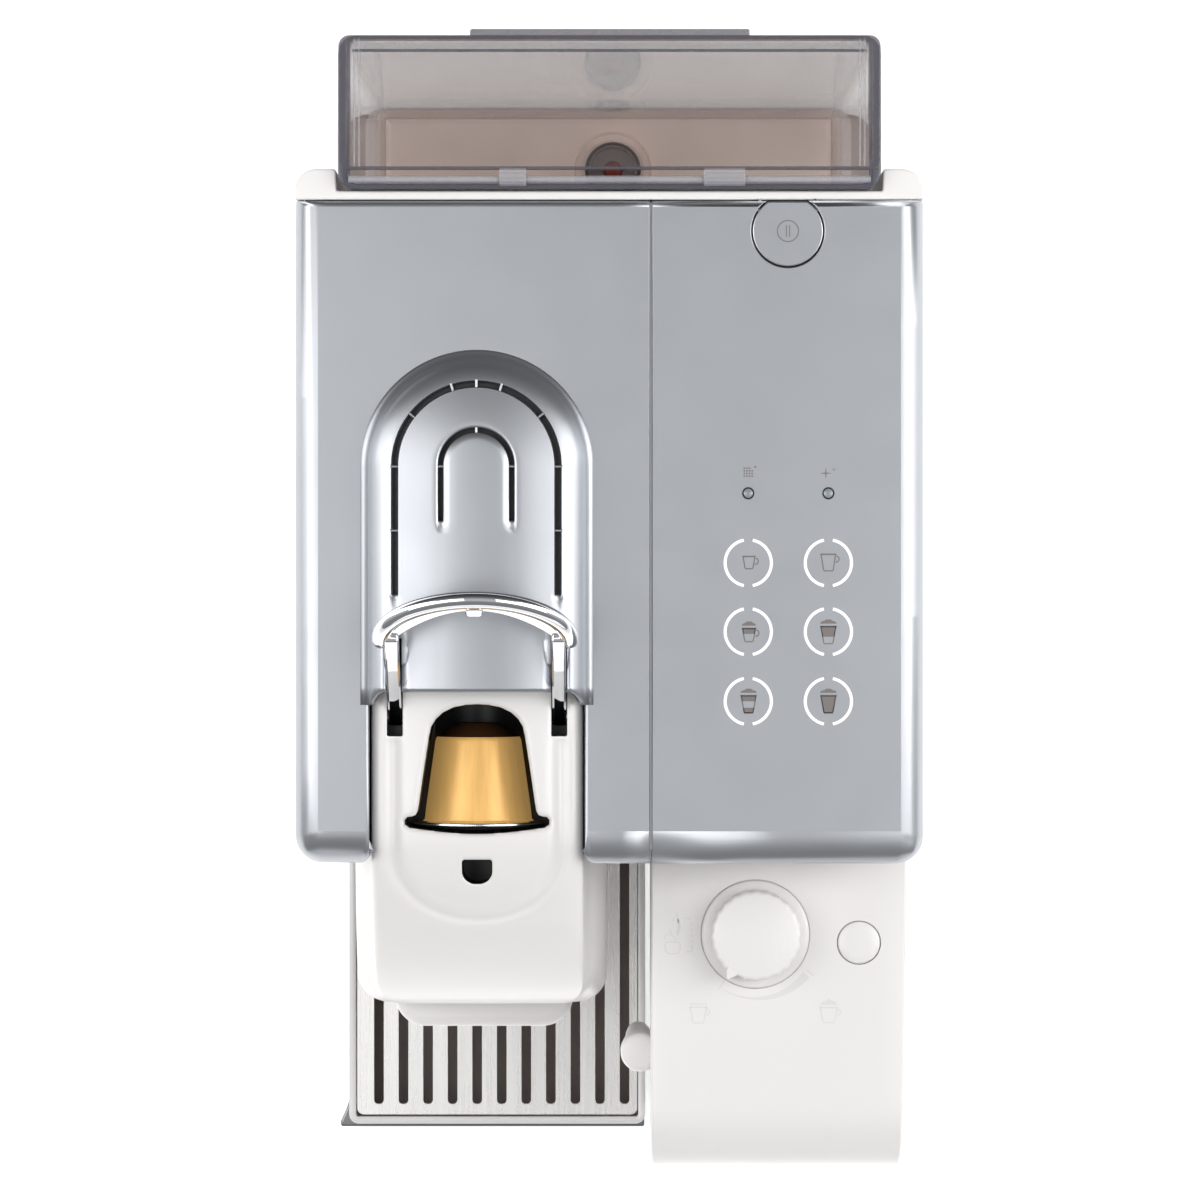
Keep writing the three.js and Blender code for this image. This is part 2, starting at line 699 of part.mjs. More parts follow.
function steamNozzle() {
  const pipe = rodY(jugX, connectorZ, 3.4, frontWallY + wall + 7, frontWallY + 40, 16);
  const block = box(jugX - 13, jugX + 13, frontWallY + 30, frontWallY + 56, connectorZ - 12, connectorZ + 12);
  return joined(pipe, block);
}
piece(body, "steam_nozzle", steamNozzle(), darkMetal);

function connectorDoor() {
  const y = frontWallY + wall + gap;
  return box(jugX - 11, jugX + 11, y, y + 1.6, connectorZ + connectorRadius + 3, connectorZ + 28);
}
piece(body, "connector_door", connectorDoor(), greyPlastic);

// ---------------------------------------------------------------- water tank
const tank = group(0, 0, 0);
const shelfHalf = tankHalf + tankSideGap - gap;
const shelfTop = tankBottom - gap;
const valveY = 138;
const inletX = 58;
const inletHalf = 12;
const inletDepth = 14;

function tankShelf() {
  const block = alongZ(roundedRectangle(-shelfHalf, shelfHalf, tankFront, shelfRear, [0, 0, 6, 6]),
    baseTop + gap, shelfTop);
  const under = box(-shelfHalf + 3, inletX - inletHalf - 6, tankFront + 3, shelfRear - 3, baseTop, shelfTop - 3);
  const socket = rodZ(valveX, valveY, 9, shelfTop - 12, shelfTop + 1);
  const inlet = box(inletX - inletHalf - gap, inletX + inletHalf + gap, shelfRear - inletDepth - gap,
    shelfRear + 1, baseTop + 1, shelfTop - 2);
  return cut(block, under, socket, inlet);
}
piece(body, "tank_shelf", tankShelf(), white);

function powerInlet() {
  const block = box(inletX - inletHalf, inletX + inletHalf, shelfRear - inletDepth, shelfRear,
    baseTop + 1 + gap, shelfTop - 2 - gap);
  const recess = alongY(
    roundedRectangle(inletX - 9, inletX + 9, 12, 24.5, [2, 2, 3, 3]),
    shelfRear - 9,
    shelfRear + 1,
  );
  const prongs = [-4, 0, 4].map((x) => box(inletX + x - 0.8, inletX + x + 0.8, shelfRear - 10, shelfRear - 3, 14.5, 18));
  return joined(cut(block, recess), ...prongs);
}
piece(body, "power_inlet", powerInlet(), black);

function drafted(half, front, rear, z0, z1, draft, radius) {
  const rim = roundedRectangle(-half, half, front, rear, [radius, radius, radius, radius]);
  const geometry = extrude(rim, z0, z1, { curveSegments: 4 });
  const place = geometry.attributes.position;
  const middle = (front + rear) / 2;
  for (let i = 0; i < place.count; i++) {
    const low = (z1 - place.getZ(i)) / (z1 - z0);
    place.setX(i, place.getX(i) * (1 - (low * draft) / half));
    place.setY(i, middle + (place.getY(i) - middle) * (1 - (low * draft) / (rear - middle)));
  }
  return solid(geometry);
}

const valveHole = 4.5;

function waterTank() {
  const outer = drafted(tankHalf, tankFront, tankRear, tankBottom, tankRim, tankDraft, 5);
  const inner = drafted(tankHalf - tankWall, tankFront + tankWall, tankRear - tankWall, tankBottom + tankWall,
    tankRim + 1, tankDraft, 3.5);
  const boss = rodZ(valveX, valveY, 12, tankBottom + 1, tankBottom + 6);
  const spigot = rodZ(valveX, valveY, 7.5, tankBottom - 6, tankBottom + 2, 20);
  const hole = rodZ(valveX, valveY, valveHole, tankBottom - 10, tankBottom + 10);
  return cut(joined(cut(outer, inner), boss, spigot), hole);
}
piece(tank, "water_tank", waterTank(), smoky);

function tankValve() {
  const stem = rodZ(valveX, valveY, valveHole - 0.6, tankBottom - 9, tankBottom + 6.5, 20);
  const cap = rodZ(valveX, valveY, 8.7, tankBottom + 6 + gap, tankBottom + 9.5);
  return joined(stem, cap);
}
piece(tank, "tank_valve", tankValve(), black);

const rodRadius = 1;
const hingeY = tankFront + lidThickness / 2 + gap;
const hingeZ = tankRim + gap + lidThickness / 2;
const hingeKnuckle = 18;

function tankLid() {
  const z0 = tankRim + gap;
  const z1 = z0 + lidThickness;
  const rim = roundedRectangle(-tankHalf, tankHalf, hingeY, tankRear, [0, 0, 5, 5]);
  const plate = alongZ(rim, z0, z1, { curveSegments: 4 });
  const roll = rodX(hingeY, hingeZ, lidThickness / 2, -tankHalf, tankHalf, 20);
  const tray = alongZ(
    roundedRectangle(-tankHalf + 5, tankHalf - 5, tankFront + 9, tankRear - 4, [3, 3, 3, 3]), z0 + 1.6, z1 + 1);
  const tab = roundedBlock(-39, 39, tankRear - 4, lidTabRear, z0 + 0.8, z1, { plan: [0, 0, 2, 2] });
  const bar = rodX(hingeY, hingeZ, rodRadius + play, -tankHalf - 1, tankHalf + 1, 16);
  const wells = [-1, 1].map((side) => {
    const x = side * 37;
    return box(x - hingeKnuckle / 2 - play, x + hingeKnuckle / 2 + play, tankFront - 1, hingeY + 4, z0 - 1, z1 + 1);
  });
  return cut(joined(cut(plate, tray), roll, tab), bar, ...wells);
}
piece(tank, "tank_lid", tankLid(), smoky);

// The rod is held by two knuckles that stand on a bar along the tank's front rim.
function hingeRod() {
  const rod = rodX(hingeY, hingeZ, rodRadius, -tankHalf + 3, tankHalf - 3, 16);
  const knuckles = [-1, 1].map((side) => {
    const x = side * 37;
    return box(x - hingeKnuckle / 2, x + hingeKnuckle / 2, tankFront + 0.2, hingeY + 2.4, tankRim + gap,
      tankRim + lidThickness);
  });
  return joined(rod, ...knuckles);
}
piece(tank, "tank_hinge_rod", hingeRod(), smoky);

// ---------------------------------------------------------------- milk jug
const jug = group(jugX, 0, 0);

function milkContainer() {
  const top = jugLidBottom - gap;
  const outer = alongZ(roundedRectangle(-jugHalf + 1, jugHalf - 1, jugFront + 3, jugRear - 2, [10, 10, 6, 6]),
    jugBottom, top);
  const inner = alongZ(
    roundedRectangle(-jugHalf + 1 + jugWall, jugHalf - 1 - jugWall, jugFront + 3 + jugWall,
      jugRear - 2 - jugWall, [8, 8, 4, 4]),
    jugBottom + jugWall,
    top + 1,
  );
  return cut(outer, inner);
}
piece(jug, "milk_container", milkContainer(), frosted);

const knobX = -6.8;
const knobY = -89.7;
const knobRadius = 12.6;
const knobRing = 15.3;
const cleanX = 22.4;
const cleanY = -92.1;
const cleanRadius = 6.1;
const releaseY = -100;
const releaseZ = 182;
const spoutY = -125;
const spoutZ = 176;

function milkLid() {
  const outer = roundedBlock(-jugHalf, jugHalf, jugFront, jugRear, jugLidBottom, jugLidTop,
    { plan: [5, 5, 2, 2], left: 2.5, right: 2.5, front: 14, rear: 2 });
  const inner = box(-jugHalf + jugWall, jugHalf - jugWall, jugFront + 12, jugRear - jugWall,
    jugLidBottom - 1, jugLidTop - 12);
  const knobWell = rodZ(knobX, knobY, knobRing, jugLidTop - 3, jugLidTop + 1, 36);
  const knobBore = rodZ(knobX, knobY, 4 + play, jugLidTop - 20, jugLidTop + 1, 20);
  const cleanBore = rodZ(cleanX, cleanY, cleanRadius + play, jugLidTop - 20, jugLidTop + 1, 24);
  const sides = [-1, 1].map((side) => {
    const x0 = side < 0 ? -jugHalf - 1 : jugHalf - 3 - play;
    return rodX(releaseY, releaseZ, 7 + play, x0, x0 + 4 + play, 24);
  });
  const spoutBore = rodX(spoutY, spoutZ, 4 + play, -jugHalf - 1, -jugHalf + 6, 20);
  return cut(outer, inner, knobWell, knobBore, cleanBore, spoutBore, ...sides);
}
piece(jug, "milk_lid", milkLid(), white);

function frothKnob() {
  const grip = rodZ(0, 0, knobRadius - 0.6, 0, 12, 40);
  const ridges = Array.from({ length: 14 }, (_, i) => {
    const a = (i * 2 * Math.PI) / 14;
    return rodZ((knobRadius - 1.1) * Math.cos(a), (knobRadius - 1.1) * Math.sin(a), 1.1, 0, 11, 6);
  });
  const skirt = rodZ(0, 0, knobRing - play, 0, 1.6, 36);
  const stem = rodZ(0, 0, 4, -14, 0.5, 16);
  return joined(grip, skirt, stem, ...ridges);
}
piece(jug, "froth_knob", frothKnob(), white).position.set(knobX, knobY, jugLidTop - 3 + gap);

const cleanButton = turned([
  [0, -13], [2.5, -13], [2.5, -6], [cleanRadius, -6], [cleanRadius, -0.8], [cleanRadius - 0.8, 0], [0, 0],
], 24);
piece(jug, "clean_button", cleanButton, white).position.set(cleanX, cleanY, jugLidTop + 0.6);

for (const [name, side] of [["release_button_left", -1], ["release_button_right", 1]]) {
  const button = side < 0 ? rodX(0, 0, 7, 0, 2.2, 24) : rodX(0, 0, 7, -2.2, 0, 24);
  piece(jug, name, button, white).position.set(side * (jugHalf - 0.2), releaseY, releaseZ);
}

// The swinging milk spout: a drum in the lid's side, with an arm that carries the tube down over the cup.
function milkSpout() {
  const drum = rodX(0, 0, 4, -1.5, 5, 20);
  const arm = box(-2.6, -1, -5, 5, -68, 5);
  const outletPad = joined(box(-3, -1, -6, 6, -72, -66), rodZ(-3, 0, 6, -72, -66, 24).intersect(
    box(-12, -1, -7, 7, -73, -65)));
  return joined(drum, arm, outletPad);
}
piece(jug, "milk_spout", milkSpout(), white).position.set(-jugHalf, spoutY, spoutZ);

function milkTube() {
  const tube = rodZ(0, 0, 2.6, jugBottom + 12, jugLidTop - 12 - gap, 12);
  const bore = rodZ(0, 0, 1.4, jugBottom + 10, jugLidTop - 18, 10);
  return cut(tube, bore);
}
piece(jug, "milk_tube", milkTube(), greyPlastic).position.set(10, -112, 0);

const milkConnector = rodY(0, connectorZ, connectorRadius, jugRear + gap, frontWallY + wall + 6);
piece(jug, "milk_connector", milkConnector, black);

// ---------------------------------------------------------------- drip tray and capsule bin
const trayX = (trayLeft + trayRight) / 2;
const trayHalf = (trayRight - trayLeft) / 2;
const tray = group(trayX, 0, 0);
const trayRear = frontWallY - gap;
const gridHalf = trayHalf - trayWall - gap;
const gridFront = trayFront + trayWall - 0.4;
const gridRear = trayRear - 6;
const gridTop = trayTop - 0.6;

function dripTray() {
  const tub = alongZ(roundedRectangle(-trayHalf, trayHalf, trayFront, trayRear, [4, 3, 2, 2]), trayBottom, trayTop);
  const well = alongZ(
    roundedRectangle(-trayHalf + trayWall, trayHalf - trayWall, trayFront + trayWall, trayRear - 4.5, [3, 2, 1, 1]),
    trayBottom + 2.2,
    trayTop + 1,
  );
  const tongue = box(binX - trayX - binHalf, binX - trayX + binHalf, trayRear - 1, binRear, trayBottom, trayBottom + 2.5);
  const ledgeY = [trayFront + trayWall - 0.5, gridRear - 3];
  const ledges = ledgeY.map((y) => box(-gridHalf, gridHalf, y, y + 3, trayBottom + 2, gridTop - gridThickness - gap));
  return joined(cut(tub, well), tongue, ...ledges);
}
piece(tray, "drip_tray", dripTray(), white);

function trayTrim() {
  const plan = new THREE.Shape();
  const left = -trayHalf;
  const right = trayHalf;
  plan.moveTo(left - 4, trimFront);
  plan.lineTo(right, trimFront);
  plan.lineTo(right, trayRear);
  plan.lineTo(left, trayRear);
  plan.lineTo(left, trimFront + 26);
  plan.quadraticCurveTo(left - 0.6, trimFront + 8, left - 4, trimFront);
  return alongZ(plan, footHeight - 1.5, trayBottom - gap);
}
piece(tray, "tray_trim", trayTrim(), darkMetal);

function dripGrid() {
  const plate = alongZ(
    roundedRectangle(-gridHalf, gridHalf, gridFront + 1, gridRear, [1.5, 1.5, 1.5, 1.5]),
    gridTop - gridThickness,
    gridTop,
  );
  const first = -71 - trayX;
  const slots = Array.from({ length: gridSlots }, (_, i) => {
    const x = first + i * gridPitch;
    const r = gridSlotWidth / 2;
    return alongZ(roundedRectangle(x - r, x + r, gridFront + 5, gridRear - 8, [1.4, 1.4, 1.4, 1.4]),
      gridTop - 3, gridTop + 1, { curveSegments: 2 });
  });
  return cut(plate, ...slots);
}
piece(tray, "drip_grid", dripGrid(), steel);

const bin = group(binX, 0, 0);
const binBottom = trayTop + 3;
const binFront = frontWallY - 1.4;
const shelfPivotZ = 98;
const shelfPivotY = binFront - 2.4;
const cupShelfHalf = 32;

function capsuleBin() {
  const outer = box(-binHalf, binHalf, binFront, binRear, binBottom, binTop);
  const inner = box(-binHalf + 2, binHalf - 2, binFront + 2, binRear - 2, binBottom + 2, binTop + 1);
  const lugs = [-1, 1].map((side) => {
    const x = side < 0 ? -binHalf : cupShelfHalf + 1;
    return box(x, x + binHalf - cupShelfHalf - 1, shelfPivotY - 2.2, binFront + 0.5, shelfPivotZ - 3, shelfPivotZ + 3);
  });
  const bore = rodX(shelfPivotY, shelfPivotZ, 1.2 + gap, -binHalf - 1, binHalf + 1, 12);
  return cut(joined(cut(outer, inner), ...lugs), bore);
}
piece(bin, "used_capsule_bin", capsuleBin(), black);

piece(bin, "cup_shelf_pin", rodX(shelfPivotY, shelfPivotZ, 1.2, -binHalf + 0.2, binHalf - 0.2, 12), steel);

function cupShelf() {
  const knuckle = rodX(shelfPivotY, shelfPivotZ, 2.2, -cupShelfHalf, cupShelfHalf, 14);
  const leaf = box(-cupShelfHalf, cupShelfHalf, shelfPivotY - 1.2, shelfPivotY + 1, shelfPivotZ - 44, shelfPivotZ - 1);
  const bore = rodX(shelfPivotY, shelfPivotZ, 1.2 + play, -binHalf, binHalf, 12);
  const slots = [-20, -10, 0, 10, 20].map((x) =>
    box(x - 1.5, x + 1.5, shelfPivotY - 3, shelfPivotY + 3, shelfPivotZ - 38, shelfPivotZ - 10),
  );
  return cut(joined(knuckle, leaf), bore, ...slots);
}
piece(bin, "cup_shelf", cupShelf(), greyPlastic);

export default machine;
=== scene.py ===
# %% [markdown]
# # A pod coffee machine with a milk jug
# This script dresses the machine's moving frame in fine meshes and finishes. The frame is loaded
# first: it knows where each piece sits and how it moves, so every size below is read from it or is a
# small detail of its own. Blender works in metres, so details are written in millimetres times MM.

# %% Load the frame
import json
import math

import bmesh
import bpy
import numpy as np
from mathutils import Matrix, Vector


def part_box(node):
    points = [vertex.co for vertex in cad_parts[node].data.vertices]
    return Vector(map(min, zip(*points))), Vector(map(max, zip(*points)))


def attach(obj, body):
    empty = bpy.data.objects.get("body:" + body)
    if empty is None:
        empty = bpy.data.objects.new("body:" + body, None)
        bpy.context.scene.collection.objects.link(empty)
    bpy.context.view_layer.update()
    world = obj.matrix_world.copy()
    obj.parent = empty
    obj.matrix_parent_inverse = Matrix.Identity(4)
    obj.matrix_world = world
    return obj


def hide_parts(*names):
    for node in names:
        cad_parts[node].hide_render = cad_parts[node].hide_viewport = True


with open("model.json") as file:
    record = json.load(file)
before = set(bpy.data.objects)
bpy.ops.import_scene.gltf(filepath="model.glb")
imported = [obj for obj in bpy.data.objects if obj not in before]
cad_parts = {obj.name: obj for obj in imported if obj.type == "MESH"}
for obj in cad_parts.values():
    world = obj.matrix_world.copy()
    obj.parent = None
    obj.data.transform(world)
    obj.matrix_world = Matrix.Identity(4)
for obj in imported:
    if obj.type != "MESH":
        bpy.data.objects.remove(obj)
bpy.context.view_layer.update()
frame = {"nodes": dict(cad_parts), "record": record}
MM = 0.001
joints = {joint["name"]: joint for joint in frame["record"]["behaviour"]["joints"]}

# %% [markdown]
# ## Camera and light
# The machine is seen from straight above, as on a product page, through a long lens so that its sides
# hardly show. Soft boxes stand left and right at three heights, because they draw the bright bands along
# the rounded sides. A low one in front lifts the front edges, and the ends of the room stay darker, so
# the front and back edges turn grey.

# %% Camera
scene = bpy.context.scene
CAMERA_PLACE = (-2.6 * MM, 4.5 * MM, 1850 * MM)
camera_data = bpy.data.cameras.new("camera")
camera_data.lens = 175.05
camera_data.sensor_width = 36
camera = bpy.data.objects.new("camera", camera_data)
camera.location = CAMERA_PLACE
scene.collection.objects.link(camera)
scene.camera = camera
scene.view_settings.view_transform = "Standard"


# %% Lights
def soft_box(name, place, aim, size, power):
    light = bpy.data.lights.new(name, "AREA")
    light.shape = "RECTANGLE"
    light.size, light.size_y = size
    light.energy = power
    lamp = bpy.data.objects.new(name, light)
    lamp.location = place
    direction = Vector(aim) - Vector(place)
    lamp.rotation_euler = direction.to_track_quat("-Z", "Y").to_euler()
    scene.collection.objects.link(lamp)
    return lamp


soft_box("left_high", (-0.9, -0.05, 1.75), (0, 0, 0.2), (0.85, 1.4), 11)
soft_box("right_high", (1.0, -0.05, 1.65), (0, 0, 0.2), (0.8, 1.4), 11.5)
soft_box("left_mid", (-1.35, 0.35, 1.0), (0, 0, 0.2), (0.7, 1.5), 7.5)
soft_box("right_mid", (1.35, 0.35, 1.0), (0, 0, 0.2), (0.7, 1.5), 9)
soft_box("left_low", (-1.5, 0.2, 0.5), (0, 0, 0.15), (0.5, 1.8), 2.5)
soft_box("right_low", (1.5, 0.2, 0.5), (0, 0, 0.15), (0.5, 1.8), 3)
soft_box("front_low", (0.2, -1.6, 0.5), (0, 0, 0.15), (2.0, 0.5), 3.2)

# %% Room
world = bpy.data.worlds.new("studio")
world.use_nodes = True
world_nodes, world_links = world.node_tree.nodes, world.node_tree.links
room = world_nodes["Background"]
place = world_nodes.new("ShaderNodeTexCoord")
split = world_nodes.new("ShaderNodeSeparateXYZ")
ends = world_nodes.new("ShaderNodeValToRGB")
half = world_nodes.new("ShaderNodeMapRange")
half.inputs["From Min"].default_value = -1
world_links.new(place.outputs["Generated"], split.inputs["Vector"])
world_links.new(split.outputs["Y"], half.inputs["Value"])
world_links.new(half.outputs["Result"], ends.inputs["Fac"])
world_links.new(ends.outputs["Color"], room.inputs["Color"])
ends.color_ramp.elements[0].position = 0.0
ends.color_ramp.elements[0].color = (0.42, 0.43, 0.45, 1)
ends.color_ramp.elements[1].position = 1.0
ends.color_ramp.elements[1].color = (0.06, 0.065, 0.08, 1)
for spot, level in ((0.1, 0.42), (0.25, 0.50), (0.40, 1.05), (0.50, 0.98), (0.62, 0.72), (0.8, 0.22)):
    step = ends.color_ramp.elements.new(spot)
    step.color = (level * 0.98, level * 0.99, level, 1)
room.inputs["Strength"].default_value = 0.56
scene.world = world


# %% [markdown]
# ## Helpers for finishes
# Each finish is a Principled shader fed by a little noise in object space: a slow drift of tone, an
# uneven gloss and a fine bump. Real mouldings and lacquers are never perfectly even, and these three
# together keep a surface from looking like plain computer grey.

# %% Finish helpers
def tone_drift(nodes, links, shader, color, coords, scale, drift):
    noise = nodes.new("ShaderNodeTexNoise")
    noise.inputs["Scale"].default_value = scale
    noise.inputs["Detail"].default_value = 3
    ramp = nodes.new("ShaderNodeValToRGB")
    ramp.color_ramp.elements[0].position = 0.3
    ramp.color_ramp.elements[1].position = 0.7
    ramp.color_ramp.elements[0].color = (*[c * (1 - drift) for c in color], 1)
    ramp.color_ramp.elements[1].color = (*[min(1, c * (1 + drift)) for c in color], 1)
    links.new(coords, noise.inputs["Vector"])
    links.new(noise.outputs["Fac"], ramp.inputs["Fac"])
    links.new(ramp.outputs["Color"], shader.inputs["Base Color"])


def uneven_gloss(nodes, links, shader, roughness, coords, scale, spread):
    noise = nodes.new("ShaderNodeTexNoise")
    noise.inputs["Scale"].default_value = scale
    noise.inputs["Detail"].default_value = 4
    span = nodes.new("ShaderNodeMapRange")
    span.inputs["To Min"].default_value = max(0, roughness - spread)
    span.inputs["To Max"].default_value = roughness + spread
    links.new(coords, noise.inputs["Vector"])
    links.new(noise.outputs["Fac"], span.inputs["Value"])
    links.new(span.outputs["Result"], shader.inputs["Roughness"])


def fine_bump(nodes, links, shader, coords, scale, strength, depth):
    noise = nodes.new("ShaderNodeTexNoise")
    noise.inputs["Scale"].default_value = scale
    noise.inputs["Detail"].default_value = 2
    bump = nodes.new("ShaderNodeBump")
    bump.inputs["Strength"].default_value = strength
    bump.inputs["Distance"].default_value = depth
    links.new(coords, noise.inputs["Vector"])
    links.new(noise.outputs["Fac"], bump.inputs["Height"])
    links.new(bump.outputs["Normal"], shader.inputs["Normal"])


def finish(name, color, roughness, stretch=(1, 1, 1), drift=0.02, drift_scale=18, spread=0.04,
           gloss_scale=60, grain=900, grain_strength=0.06, grain_depth=0.1 * MM, **sockets):
    material = bpy.data.materials.new(name)
    material.use_nodes = True
    material.diffuse_color = (*color, 1)
    nodes, links = material.node_tree.nodes, material.node_tree.links
    shader = nodes["Principled BSDF"]
    place = nodes.new("ShaderNodeTexCoord")
    turn = nodes.new("ShaderNodeMapping")
    turn.inputs["Scale"].default_value = stretch
    links.new(place.outputs["Object"], turn.inputs["Vector"])
    coords = turn.outputs["Vector"]
    tone_drift(nodes, links, shader, color, coords, drift_scale, drift)
    uneven_gloss(nodes, links, shader, roughness, coords, gloss_scale, spread)
    fine_bump(nodes, links, shader, coords, grain, grain_strength, grain_depth)
    for socket, value in sockets.items():
        shader.inputs[socket.replace("_", " ")].default_value = value
    return material


# %% [markdown]
# ## The finishes
# The covers are a satin silver lacquer with a very fine metal flake. The head, jug and tray are a
# bright white moulding. The lever is chrome plate, the grid is brushed stainless steel whose scratches
# run front to back, and the capsule is gold anodised foil that was drawn along its length. The gold
# also glows faintly: painted light for the light that bounces round the capsule slot.

# %% Metal finishes
silver = finish("silver_lacquer", (0.375, 0.388, 0.41), 0.33, drift=0.015, grain=2600,
                grain_strength=0.12, grain_depth=0.05 * MM, Metallic=0.85, Coat_Weight=0.15,
                Coat_Roughness=0.15)
chrome = finish("chrome_plate", (0.76, 0.77, 0.79), 0.045, drift=0.01, spread=0.015, grain=400,
                grain_strength=0.02, Metallic=1.0)
brushed = finish("brushed_steel", (0.75, 0.735, 0.715), 0.28, stretch=(1, 0.02, 1), drift=0.02,
                 drift_scale=500, spread=0.08, gloss_scale=900, grain=2200, grain_strength=0.10,
                 grain_depth=0.04 * MM, Metallic=1.0)
satin_bar = finish("satin_grey_metal", (0.185, 0.188, 0.192), 0.32, stretch=(0.03, 1, 1), drift=0.04,
                   drift_scale=300, gloss_scale=600, grain=1800, Metallic=0.9)
cast_metal = finish("cast_metal", (0.42, 0.43, 0.44), 0.5, drift=0.08, grain=500, grain_strength=0.3,
                    Metallic=0.9)
# The gold glows faintly: painted light for the light bouncing round the capsule slot, whose walls shade the
# capsule's sides.
gold = finish("gold_foil_painted_glow", (0.58, 0.33, 0.10), 0.40, stretch=(1, 0.006, 1), drift=0.10,
              drift_scale=520, spread=0.05, gloss_scale=700, grain=1500, grain_strength=0.10,
              grain_depth=0.04 * MM, Metallic=0.3, Emission_Color=(0.9, 0.55, 0.18, 1),
              Emission_Strength=0.27)
flange_metal = finish("foil_rim", (0.86, 0.86, 0.85), 0.22, drift=0.03, Metallic=1.0)

# %% Plastic finishes
white = finish("white_moulding", (0.71, 0.693, 0.678), 0.30, drift=0.008, spread=0.03, grain=700,
               grain_strength=0.03, Coat_Weight=0.15, Coat_Roughness=0.15)
soft_white = finish("white_satin_moulding", (0.80, 0.78, 0.765), 0.42, drift=0.01, spread=0.04,
                    grain=1300, grain_strength=0.08, grain_depth=0.04 * MM)
black = finish("black_moulding", (0.012, 0.014, 0.017), 0.35, drift=0.15, spread=0.06, grain=1100,
               grain_strength=0.12)
grey = finish("grey_moulding", (0.26, 0.28, 0.30), 0.4, drift=0.04, grain=1100)
rubber = finish("soft_rubber", (0.03, 0.03, 0.032), 0.8, drift=0.1, grain=1600, grain_strength=0.25)
board_green = finish("board_lacquer", (0.03, 0.16, 0.07), 0.35, drift=0.15, drift_scale=200, grain=900)
ink_white = finish("white_ink", (1.0, 1.0, 1.0), 0.5, drift=0.01, grain=2000)
ink_grey = finish("warm_grey_ink", (0.17, 0.152, 0.145), 0.5, drift=0.03, grain=2000)
ink_pale = finish("pale_grey_ink", (0.63, 0.62, 0.615), 0.5, drift=0.01, grain=2000)
smoky = finish("smoky_clear", (0.21, 0.195, 0.205), 0.05, drift=0.03, spread=0.02, grain=120,
               grain_strength=0.02, Alpha=0.55)
smoky_sheet = finish("smoky_sheet", (0.24, 0.20, 0.20), 0.08, drift=0.04, spread=0.02, grain=120,
                     grain_strength=0.02, Alpha=0.09)
# A pale warm tint with a faint glow: painted light for the light that reaches the tank floor through the
# clear plastic.
smoky_floor_painted_light = finish("smoky_floor_painted_light", (0.93, 0.77, 0.69), 0.15, drift=0.06, drift_scale=60, spread=0.03,
                     grain=300, grain_strength=0.05, Alpha=0.75, Emission_Color=(0.95, 0.80, 0.72, 1),
                     Emission_Strength=0.11)
smoky_rim = finish("smoky_rim", (0.095, 0.098, 0.13), 0.10, drift=0.03, spread=0.02, grain=200,
                   grain_strength=0.03, Alpha=0.66)
clear_rib = finish("clear_rib", (0.50, 0.50, 0.54), 0.08, drift=0.02, grain=300, Alpha=0.32)
frosted = finish("frosted_clear", (0.93, 0.93, 0.93), 0.18, drift=0.01, spread=0.04, grain=500,
                 grain_strength=0.05, Transmission_Weight=0.9, IOR=1.3)
lamp_off = finish("lamp_lens", (0.22, 0.25, 0.28), 0.2, drift=0.05, grain=500, Coat_Weight=0.6)
print("finishes:", len(bpy.data.materials))

# %% [markdown]
# ## The floor
# A plain pale sheet under the machine. It is a stage piece, not part of the object.

# %% Floor
floor_mesh = bmesh.new()
bmesh.ops.create_grid(floor_mesh, x_segments=1, y_segments=1, size=6)
floor_data = bpy.data.meshes.new("floor")
floor_mesh.to_mesh(floor_data)
floor_mesh.free()
floor = bpy.data.objects.new("floor", floor_data)
scene.collection.objects.link(floor)
floor_finish = finish("pale_floor", (0.93, 0.93, 0.93), 0.9, drift=0.0, spread=0.0, grain=10,
                      grain_strength=0.0, Emission_Strength=0.6)
floor_data.materials.append(floor_finish)
floor_finish.node_tree.nodes["Principled BSDF"].inputs["Emission Color"].default_value = (1, 1, 1, 1)


# %% [markdown]
# ## Helpers for shapes
# An outline with rounded corners, filled and pulled up into a slab, gives most of the mouldings. The
# edges are then rounded by a Bevel modifier, which stays even where several edges meet.

# %% Shape helpers
def arc_points(center, radius, start, end, steps):
    angles = [math.radians(start + (end - start) * i / steps) for i in range(steps + 1)]
    return [(center[0] + radius * math.cos(a), center[1] + radius * math.sin(a)) for a in angles]


def rounded_outline(corners, steps=8):
    """Corners are (x, y, radius) in order; each is replaced by an arc that touches both its sides."""
    points = []
    for i, (x, y, radius) in enumerate(corners):
        corner = Vector((x, y))
        before = (Vector(corners[i - 1][:2]) - corner).normalized()
        after = (Vector(corners[(i + 1) % len(corners)][:2]) - corner).normalized()
        if radius <= 0:
            points.append((x, y))
            continue
        half = before.angle(after) / 2
        middle = corner + (before + after).normalized() * radius / math.sin(half)
        first = corner + before * radius / math.tan(half) - middle
        last = corner + after * radius / math.tan(half) - middle
        turn = first.angle_signed(last)
        for step in range(steps + 1):
            spoke = first.copy()
            spoke.rotate(Matrix.Rotation(-turn * step / steps, 2))
            points.append(tuple(middle + spoke))
    return points


def box_outline(x0, x1, y0, y1, radius, steps=8):
    return rounded_outline([(x0, y0, radius), (x1, y0, radius), (x1, y1, radius), (x0, y1, radius)], steps)


def outline_loop(bm, points, z):
    verts = [bm.verts.new((x, y, z)) for x, y in points]
    edges = [bm.edges.new((a, b)) for a, b in zip(verts, verts[1:] + verts[:1])]
    return verts, edges


